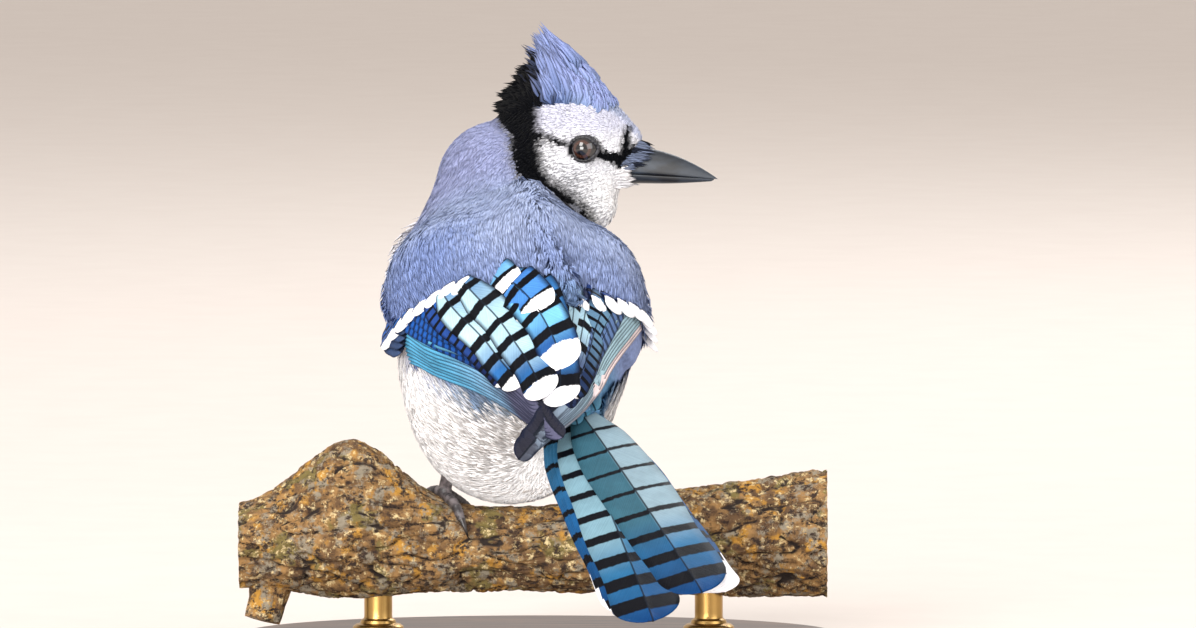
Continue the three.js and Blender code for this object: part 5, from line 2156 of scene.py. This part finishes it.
@dataclass
class Wing:
    """One folded wing: fanned primaries and secondaries, three broad inner feathers and rows of coverts."""

    side: Side
    panel: Colour
    panel_tip: Colour
    inner: tuple[Quill, ...] = ()

    def blade(self, quill: Quill) -> Shape:
        """A feather's form on the sheet, its lower edge a little raised so that it lies over the next one.

        Args:
            quill: the feather's places and sizes.
        Returns:
            The form.
        """
        v = stations(quill.stations)
        s = quill.root[0] + (quill.tip[0] - quill.root[0]) * v
        t = quill.root[1] + (quill.tip[1] - quill.root[1]) * v + quill.bend * 4 * v * (1 - v)
        shown = ease(s - np.interp(t, *MANTLE_EDGE[self.side]), 0.0, 0.07)
        height = quill.height * (0.1 + 0.9 * shown) * (1 - 0.6 * ease(s, 0.45, 0.95))
        drift = np.array([-5.5, 0, 3.0]) if self.side is Side.RIGHT and quill.tip[0] > 1 else np.zeros(3)
        shaft = on_wing(self.side, s, t, height)
        flat_s, flat_t = np.minimum(s, 0.92), np.minimum(t, 1.0)
        level = on_wing(self.side, flat_s, flat_t, height)
        face = unit(on_wing(self.side, flat_s, flat_t, height + 1.0) - level)
        shaft = shaft + ease(s, 0.82, 1.15)[:, None] * drift
        along = unit(np.gradient(shaft, axis=0))
        face = unit(face - along * dot(face, along)[:, None])
        lower = on_wing(self.side, flat_s, flat_t + 0.05, height) - level
        side = np.cross(face, along)
        side = side * np.sign(dot(side, lower))[:, None]
        lean = np.radians(quill.tilt)
        c, n = np.cos(lean), np.sin(lean)
        side, face = side * c + face * n, face * c - side * n
        length = float(np.sum(np.linalg.norm(np.diff(shaft, axis=0), axis=1)))
        outer, inner = (outline(v, length, half, quill.rounding) for half in quill.half)
        return Shape(shaft, side, face, outer, inner, quill.dome, 0.32)

    def primaries(self) -> list[Quill]:
        """The long outer feathers, edge on below the others.

        Returns:
            The feathers, lowest first.
        """
        made = []
        left = self.side is Side.LEFT
        for i in range(10):
            k = i / 9
            root = (0.49 - 0.11 * k, 1.12 - 0.2 * k) if left else (0.42, 0.82 - 0.2 * k)
            tip = (1.04 - 0.14 * k, 1.02 - 0.3 * k) if left else (1.16 - 0.12 * k, 1.15 - 0.62 * k)
            pale = tuple(0.5 * c + 0.5 * w for c, w in zip(self.panel, (176, 188, 220)))
            edge = self.panel if left or i > 1 else (236, 218, 218)
            fade = (0.3, 0.55, 0.74) if left else (0.5, 0.8, 0.95)
            end = self.panel_tip
            outer = [(0, edge), (fade[0], edge), (fade[1], pale), (fade[2], end), (1, end)]
            inner = [(0, (48, 60, 84)), (0.7, (52, 56, 76)), (1, (34, 34, 44))]
            paint = unbarred(outer, inner, 0.4, 0.85)
            half = (2.6, 3.4) if left else (2.5, 3.6 + 0.8 * (1 - k))
            bend = 0.02 if left else -0.3 + 0.12 * k
            made.append(Quill(root, tip, half, 0.25 + 0.2 * i, paint, 1.9, 9, 0.35, 24, bend))
        return made

    def secondaries(self) -> list[Quill]:
        """The inner flight feathers with fine dark bars.

        Returns:
            The feathers, lowest first.
        """
        made = []
        left = self.side is Side.LEFT
        blue, low = ((30, 84, 164), (14, 38, 96)) if left else ((86, 112, 156), (34, 46, 86))
        for i in range(6):
            k = i / 5
            root = (0.33, 0.9 - 0.25 * k) if left else (0.42, 0.54 - 0.18 * k)
            tip = (0.74 + 0.06 * k, 0.88 - 0.16 * k) if left else (0.9 - 0.04 * k, 0.42 - 0.14 * k)
            outer, inner = [(0, blue), (0.5, blue), (1, low)], even(low, (12, 24, 60))
            end = 2.2 if i > 2 and left else -1.0
            paint = Paint(outer, inner, 2.5, (0.42, 0.46), (0.4, 0.75), 0.5, pale_tip=end, rim=0.5)
            made.append(Quill(root, tip, (2.9, 4.2), 2.1 + 0.16 * i, paint, 1.4, 8, 0.4, 30))
        return made

    def coverts(self) -> list[Quill]:
        """The coverts that end in the white wing bar, and the dark ones before the primaries.

        Returns:
            The feathers, lowest first.
        """
        left = self.side is Side.LEFT
        first, last, count = (0.53, 1.08, 8) if left else (0.1, 1.02, 11)
        outer, inner = even((40, 84, 160), (60, 112, 190)), even((26, 50, 110), (34, 66, 132))
        white_ended = Paint(outer, inner, 3.2, (0.5, 0.5), (0.9, 1.0), 0.3, 1.6, pale_tip=4.6, rim=0.2)
        made = []
        for i in range(count):
            t = last + (first - last) * i / (count - 1)
            s = float(np.interp(t, *MANTLE_EDGE[self.side])) + 0.075
            root, tip = (s - 0.1, t - 0.03), (s + 0.01, t)
            made.append(Quill(root, tip, (3.5, 3.5), 3.0 + 0.07 * i, white_ended, 0.6, 5, 0.5, 20))
        dark = unbarred(even((40, 56, 92), (52, 70, 104)), even((30, 40, 66), (24, 30, 48)), rim=0.6)
        for i in range(4 if left else 0):
            t = 1.1 - 0.05 * i
            tip = (0.46 - 0.012 * i, t)
            made.append(Quill((0.33, t), tip, (2.6, 3.0), 2.2 + 0.12 * i, dark, 1.3, 6, 0.5, 16))
        return made

    def build(self) -> Piece:
        """Makes the wing as one piece."""
        name = self.side.name.lower()
        plumes = Plumes(20 + self.side.sign)
        for quill in [*self.primaries(), *self.secondaries(), *self.inner, *self.coverts()]:
            plumes.add(self.blade(quill), quill.paint)
        wing = plumes.build(f"plumes_{name}")
        dress(wing, VaneFinish("barred flight feathers").make())
        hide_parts(f"wing_{name}")
        return wing


def squared(pale_tip: float, offset: float, near: Colour, far: Colour, period: float = 7.9) -> Paint:
    """The wide bars of the innermost wing feathers: squares between black.

    Args:
        pale_tip: how long the white tip is.
        offset: how far the bars are moved along the feather.
        near: the squares' colour towards the root.
        far: their colour towards the tip.
        period: from one bar to the next.
    Returns:
        The feather's colours.
    """
    outer = [(0, near), (0.5, near), (0.78, far), (1, far)]
    inner = [(0, far), (0.4, near), (0.65, near), (0.85, far), (1, far)]
    return Paint(outer, inner, period, (0.34, 0.46), (1.0, 1.0), 0.12, offset, pale_tip, rim=1.0)


# The innermost feathers of each wing, in the order in which they are laid
LEFT_INNER = (
    Quill((0.38, 0.68), (0.765, 0.89), (3.8, 4.6), 3.3, squared(3, 1, NAVY, (20, 36, 84), 3), 1.1, 7),
    Quill((0.42, 0.16), (0.99, 0.08), (6.0, 6.0), 2.6, squared(5.5, 1, AZURE, (18, 28, 54), 9), 0.9, 5),
    Quill((0.4, 0.61), (0.80, 0.79), (5.0, 5.2), 3.5, squared(4.5, 2, ICE, (40, 96, 156)), 1.0, 6),
    Quill((0.41, 0.5), (0.905, 0.5), (5.4, 5.6), 3.8, squared(6, 0, ICE, (38, 92, 150)), 1.0, 6),
    Quill((0.41, 0.31), (0.825, 0.05), (6.4, 6.8), 4.0, squared(8, 3, SKY, (34, 80, 140)), 0.9, 5),
    Quill((0.45, 0.27), (0.64, 0.17), (6.8, 7.0), 4.1, squared(7, 1, (70, 130, 200), (44, 96, 170)), 0.9, 4),
    Quill((0.40, 0.37), (0.51, 0.3), (6.0, 6.4), 3.2, squared(5.6, 0, (110, 170, 214), AZURE, 6.5), 0.8, 3),
)
RIGHT_INNER = (
    Quill((0.42, 0.42), (0.86, 0.34), (4.6, 5.0), 2.8, squared(2, 1, SLATE, (36, 56, 96), 3), 1.2, 7),
    Quill((0.44, 0.3), (0.82, 0.2), (5.0, 5.4), 2.9, squared(5, 2, ICE, (90, 110, 150)), 1.1, 6),
    Quill((0.46, 0.18), (0.76, 0.1), (4.8, 5.2), 3.0, squared(5, 3, ICE, (110, 120, 160)), 1.0, 5),
    Quill((0.48, 0.1), (0.66, 0.06), (4.6, 5.0), 3.2, squared(5.5, 0, ICE, (150, 170, 200)), 1.0, 4),
)


# Tail


@dataclass
class Tail:
    """Twelve graduated feathers, nearly closed, each over the next, under the coverts of the rump.

    Left and right hold, for each feather from the middle, where it starts, its turn and its length.
    """

    half: tuple[float, ...] = (10.2, 8.8, 8.4, 8.0, 7.4, 6.8)
    left: tuple[tuple[float, float, float], ...] = (
        (-2.5, -4.3, 113), (-4.2, -4.4, 109), (-5.6, -4.1, 105),
        (-7.0, -3.6, 101), (-8.4, -3.2, 98), (-9.5, -2.8, 95),
    )
    right: tuple[tuple[float, float, float], ...] = (
        (-0.4, 3.1, 106), (1.2, 3.2, 104), (2.4, 3.3, 103),
        (3.6, 3.6, 102), (4.7, 4.1, 101), (5.6, 4.5, 100),
    )

    @staticmethod
    def axes() -> Axes:
        """The tail's root, with its ways along, aside and up."""
        along = unit(np.array([0.285, -0.855, -0.425]))
        face = unit(np.cross(along, np.array([0.94, 0.241, 0.25])))
        return Axes(TRUNK.world([-46, -6.5, 8.5]), np.array([along, np.cross(face, along), face]))

    def paint(self, i: int, hand: int) -> Paint:
        """The colours of a feather, whose outer vane is away from the tail's middle.

        Args:
            i: its number from the middle.
            hand: 1 on the right and -1 on the left.
        Returns:
            The feather's colours.
        """
        teal, pale, azure = (50, 90, 106), (126, 150, 162), (6, 50, 98)
        if i == 0:
            edge = pale if hand > 0 else (112, 146, 160)
            inner = teal if hand > 0 else (56, 106, 138)
            outer = [(0, edge), (0.62, edge), (0.78, (36, 94, 134)), (1, azure)]
            inside = [(0, inner), (0.62, inner), (0.78, (30, 80, 120)), (1, azure)]
            duty = (0.14, 0.5) if hand > 0 else (0.27, 0.54)
            return Paint(outer, inside, 11.4, duty, (1, 1), 0.0, 3.0, pale_tip=-2.0)
        outer = [(0, (54, 112, 144)), (0.5, (24, 82, 132)), (1, azure)]
        inside = [(0, (70, 92, 124)), (0.6, (48, 84, 130)), (1, (36, 90, 160))]
        tip = (0.0, 3.0, 7.0, 11.0, 16.0, 21.0 if hand > 0 else 24.0)[i]
        return Paint(outer, inside, 12.0, (0.2, 0.46), (0.8, 1), 0.1, 2.0 * i, tip)

    def blade(self, i: int, hand: int, level: float) -> Shape:
        """One feather's form.

        Args:
            i: its number from the middle.
            hand: 1 on the right and -1 on the left.
            level: how high its root lies.
        Returns:
            The form in the row frame.
        """
        axes = self.axes()
        v = stations(44)
        start, turn, long = (self.right if hand > 0 else self.left)[i]
        angle = np.radians(turn)
        root = np.array([0, start, level])
        way = np.array([np.cos(angle), np.sin(angle), 0])
        shaft = root + v[:, None] * long * way
        shaft[:, 2] -= 3.0 * v**2
        side = np.tile([-np.sin(angle) * hand, np.cos(angle) * hand, -0.04], (len(v), 1))
        face = np.tile([0.03, 0.0, 1.0], (len(v), 1))
        half = self.half[i] * (0.92 if i == 0 and hand < 0 else 1)
        narrow = 0.55 + 0.45 * ease(v, 0.0, 0.4)
        outer = outline(v, long, half * (1.0 if i == 0 else 0.85), 0.9) * narrow
        inner = outline(v, long, half, 0.9) * narrow
        return Shape(axes.world(shaft), axes.turn(unit(side)), axes.turn(unit(face)), outer, inner, 0.7, 0.4)

    def covert(self, random: Draws, i: int) -> tuple[Shape, Paint]:
        """One of the rump's long coverts.

        Args:
            random: where the draws come from.
            i: its number.
        Returns:
            Its form and its colours.
        """
        axes = self.axes()
        v = stations(18)
        across = (i % 5 - 2) * 2.0 - 1.6
        long = 28.0 - 5 * (i // 5) - 2.8 * abs(i % 5 - 2) + random.uniform(-1.5, 1.5)
        angle = np.radians(across * 1.6)
        back, high = -14 - 6.0 * (i // 5), 2.3 + 1.2 * (i // 5)
        shaft = np.stack([back + v * long, across + v * long * np.sin(angle), high - 1.4 * v**2], 1)
        side, face = (np.tile(way, (len(v), 1)) for way in ([0.0, 1.0, 0.0], [0.0, 0.0, 1.0]))
        width = outline(v, long, 3.6, 2.2)
        colour = (66, 116, 140) if i % 2 else (74, 126, 152)
        paint = unbarred(even((96, 130, 172), colour), even((92, 126, 166), colour))
        return Shape(axes.world(shaft), axes.turn(side), axes.turn(face), width, width, 1.4, 0.3), paint

    def build(self) -> Piece:
        """Makes the tail as one piece."""
        plumes = Plumes(31)
        random = np.random.default_rng(32)
        for i in range(5, -1, -1):
            for hand in (-1, 1):
                level = -1.15 * (i + (0.45 if hand < 0 else 0))
                plumes.add(self.blade(i, hand, level), self.paint(i, hand))
        for i in range(10):
            plumes.add(*self.covert(random, i))
        tail = plumes.build("plumes_tail")
        dress(tail, VaneFinish("barred tail feathers").make())
        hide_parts("tail")
        return tail


# Camera, floor and light


@dataclass
class Studio:
    """The camera of the photograph, a plain pale floor and soft light."""

    lens: float = 500.0
    distance: float = 4718.0
    target: tuple[float, float, float] = (16.5, 0.0, 98.54)
    elevation: float = 4.0
    floor_half: float = 15000.0
    heart: Triple = (0.0, 0.0, 0.1)
    lamps: tuple[tuple[str, Triple, float, float, Triple], ...] = (
        ("key", (-0.9, -1.5, 1.7), 1.1, 34, (1.0, 0.985, 0.96)),
        ("fill", (1.6, -1.4, 0.9), 1.6, 20, (0.96, 0.975, 1.0)),
        ("low", (-0.7, -2.0, 0.3), 1.2, 48, (1.0, 0.99, 0.98)),
        ("rim", (0.7, 1.5, 1.5), 1.0, 20, (0.96, 0.98, 1.0)),
    )

    @staticmethod
    def hung(data: bpy.types.ID, place: Vector, aim: Vector) -> Piece:
        """A camera or lamp at a place, turned to look at another."""
        made = bpy.data.objects.new(data.name, data)
        bpy.context.scene.collection.objects.link(made)
        made.location = place
        made.rotation_euler = (aim - place).to_track_quat("-Z", "Y").to_euler()
        return made

    def camera(self) -> None:
        """Sets the camera."""
        data = bpy.data.cameras.new("camera")
        data.lens, data.sensor_width, data.clip_end = self.lens, 36.0, 200.0
        up = np.radians(self.elevation)
        place = np.array(self.target) + self.distance * np.array([0, -np.cos(up), np.sin(up)])
        bpy.context.scene.camera = self.hung(data, Vector(place * MM), Vector(np.array(self.target) * MM))

    def floor(self) -> None:
        """Lays the floor."""
        bpy.ops.object.select_all(action="DESELECT")
        bpy.ops.mesh.primitive_plane_add(size=2 * self.floor_half * MM)
        floor = bpy.context.object
        floor.name = "floor"
        g = Graph("floor paper", roughness=0.9, specular_ior_level=0.1)
        g.feed("Base Color", g.mix(g.noise(40, 3), (214, 206, 200), (220, 213, 207)))
        floor.data.materials.append(g.material)

    def lamp(self, name: str, place: Triple, size: float, power: float, colour: Triple) -> None:
        """Hangs one soft square lamp."""
        data = bpy.data.lights.new(name, "AREA")
        data.size, data.energy, data.color = size, power, colour
        self.hung(data, Vector(place), Vector(self.heart))

    def build(self) -> None:
        """Sets up everything around the model."""
        self.camera()
        self.floor()
        for lamp in self.lamps:
            self.lamp(*lamp)
        world = bpy.data.worlds.new("soft room")
        bpy.context.scene.world = world
        world.use_nodes = True
        sky = world.node_tree.nodes["Background"]
        sky.inputs["Color"].default_value = opaque((240, 232, 226))
        sky.inputs["Strength"].default_value = 0.95
        bpy.context.scene.view_settings.view_transform = "Standard"


def main() -> None:
    """Builds the model in order and reports each piece."""
    logging.basicConfig(level=logging.INFO, format="%(message)s", stream=sys.stdout)
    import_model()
    Studio().build()
    skin = Skin().build()
    LOG.info("skin: %d faces", len(skin.data.polygons))
    pieces = Coat().build(SkinField(skin))
    pieces.append(Crest().build())
    pieces.append(Wing(Side.LEFT, (92, 172, 212), (84, 84, 108), LEFT_INNER).build())
    pieces.append(Wing(Side.RIGHT, (164, 196, 208), (70, 74, 86), RIGHT_INNER).build())
    pieces.append(Tail().build())
    pieces += Bill().build()
    for side in (1, -1):
        pieces += Eye(side).build()
    pieces.append(Bristles().build())
    for name, inwards in (("left", 1.0), ("right", -1.0)):
        pieces += Leg(name, FEET[name], inwards).build()
    pieces.append(Perch().build())
    pieces += Stand().build()
    for piece in pieces:
        LOG.info("%s: %d faces", piece.name, len(piece.data.polygons))


if __name__ == "__main__":
    main()
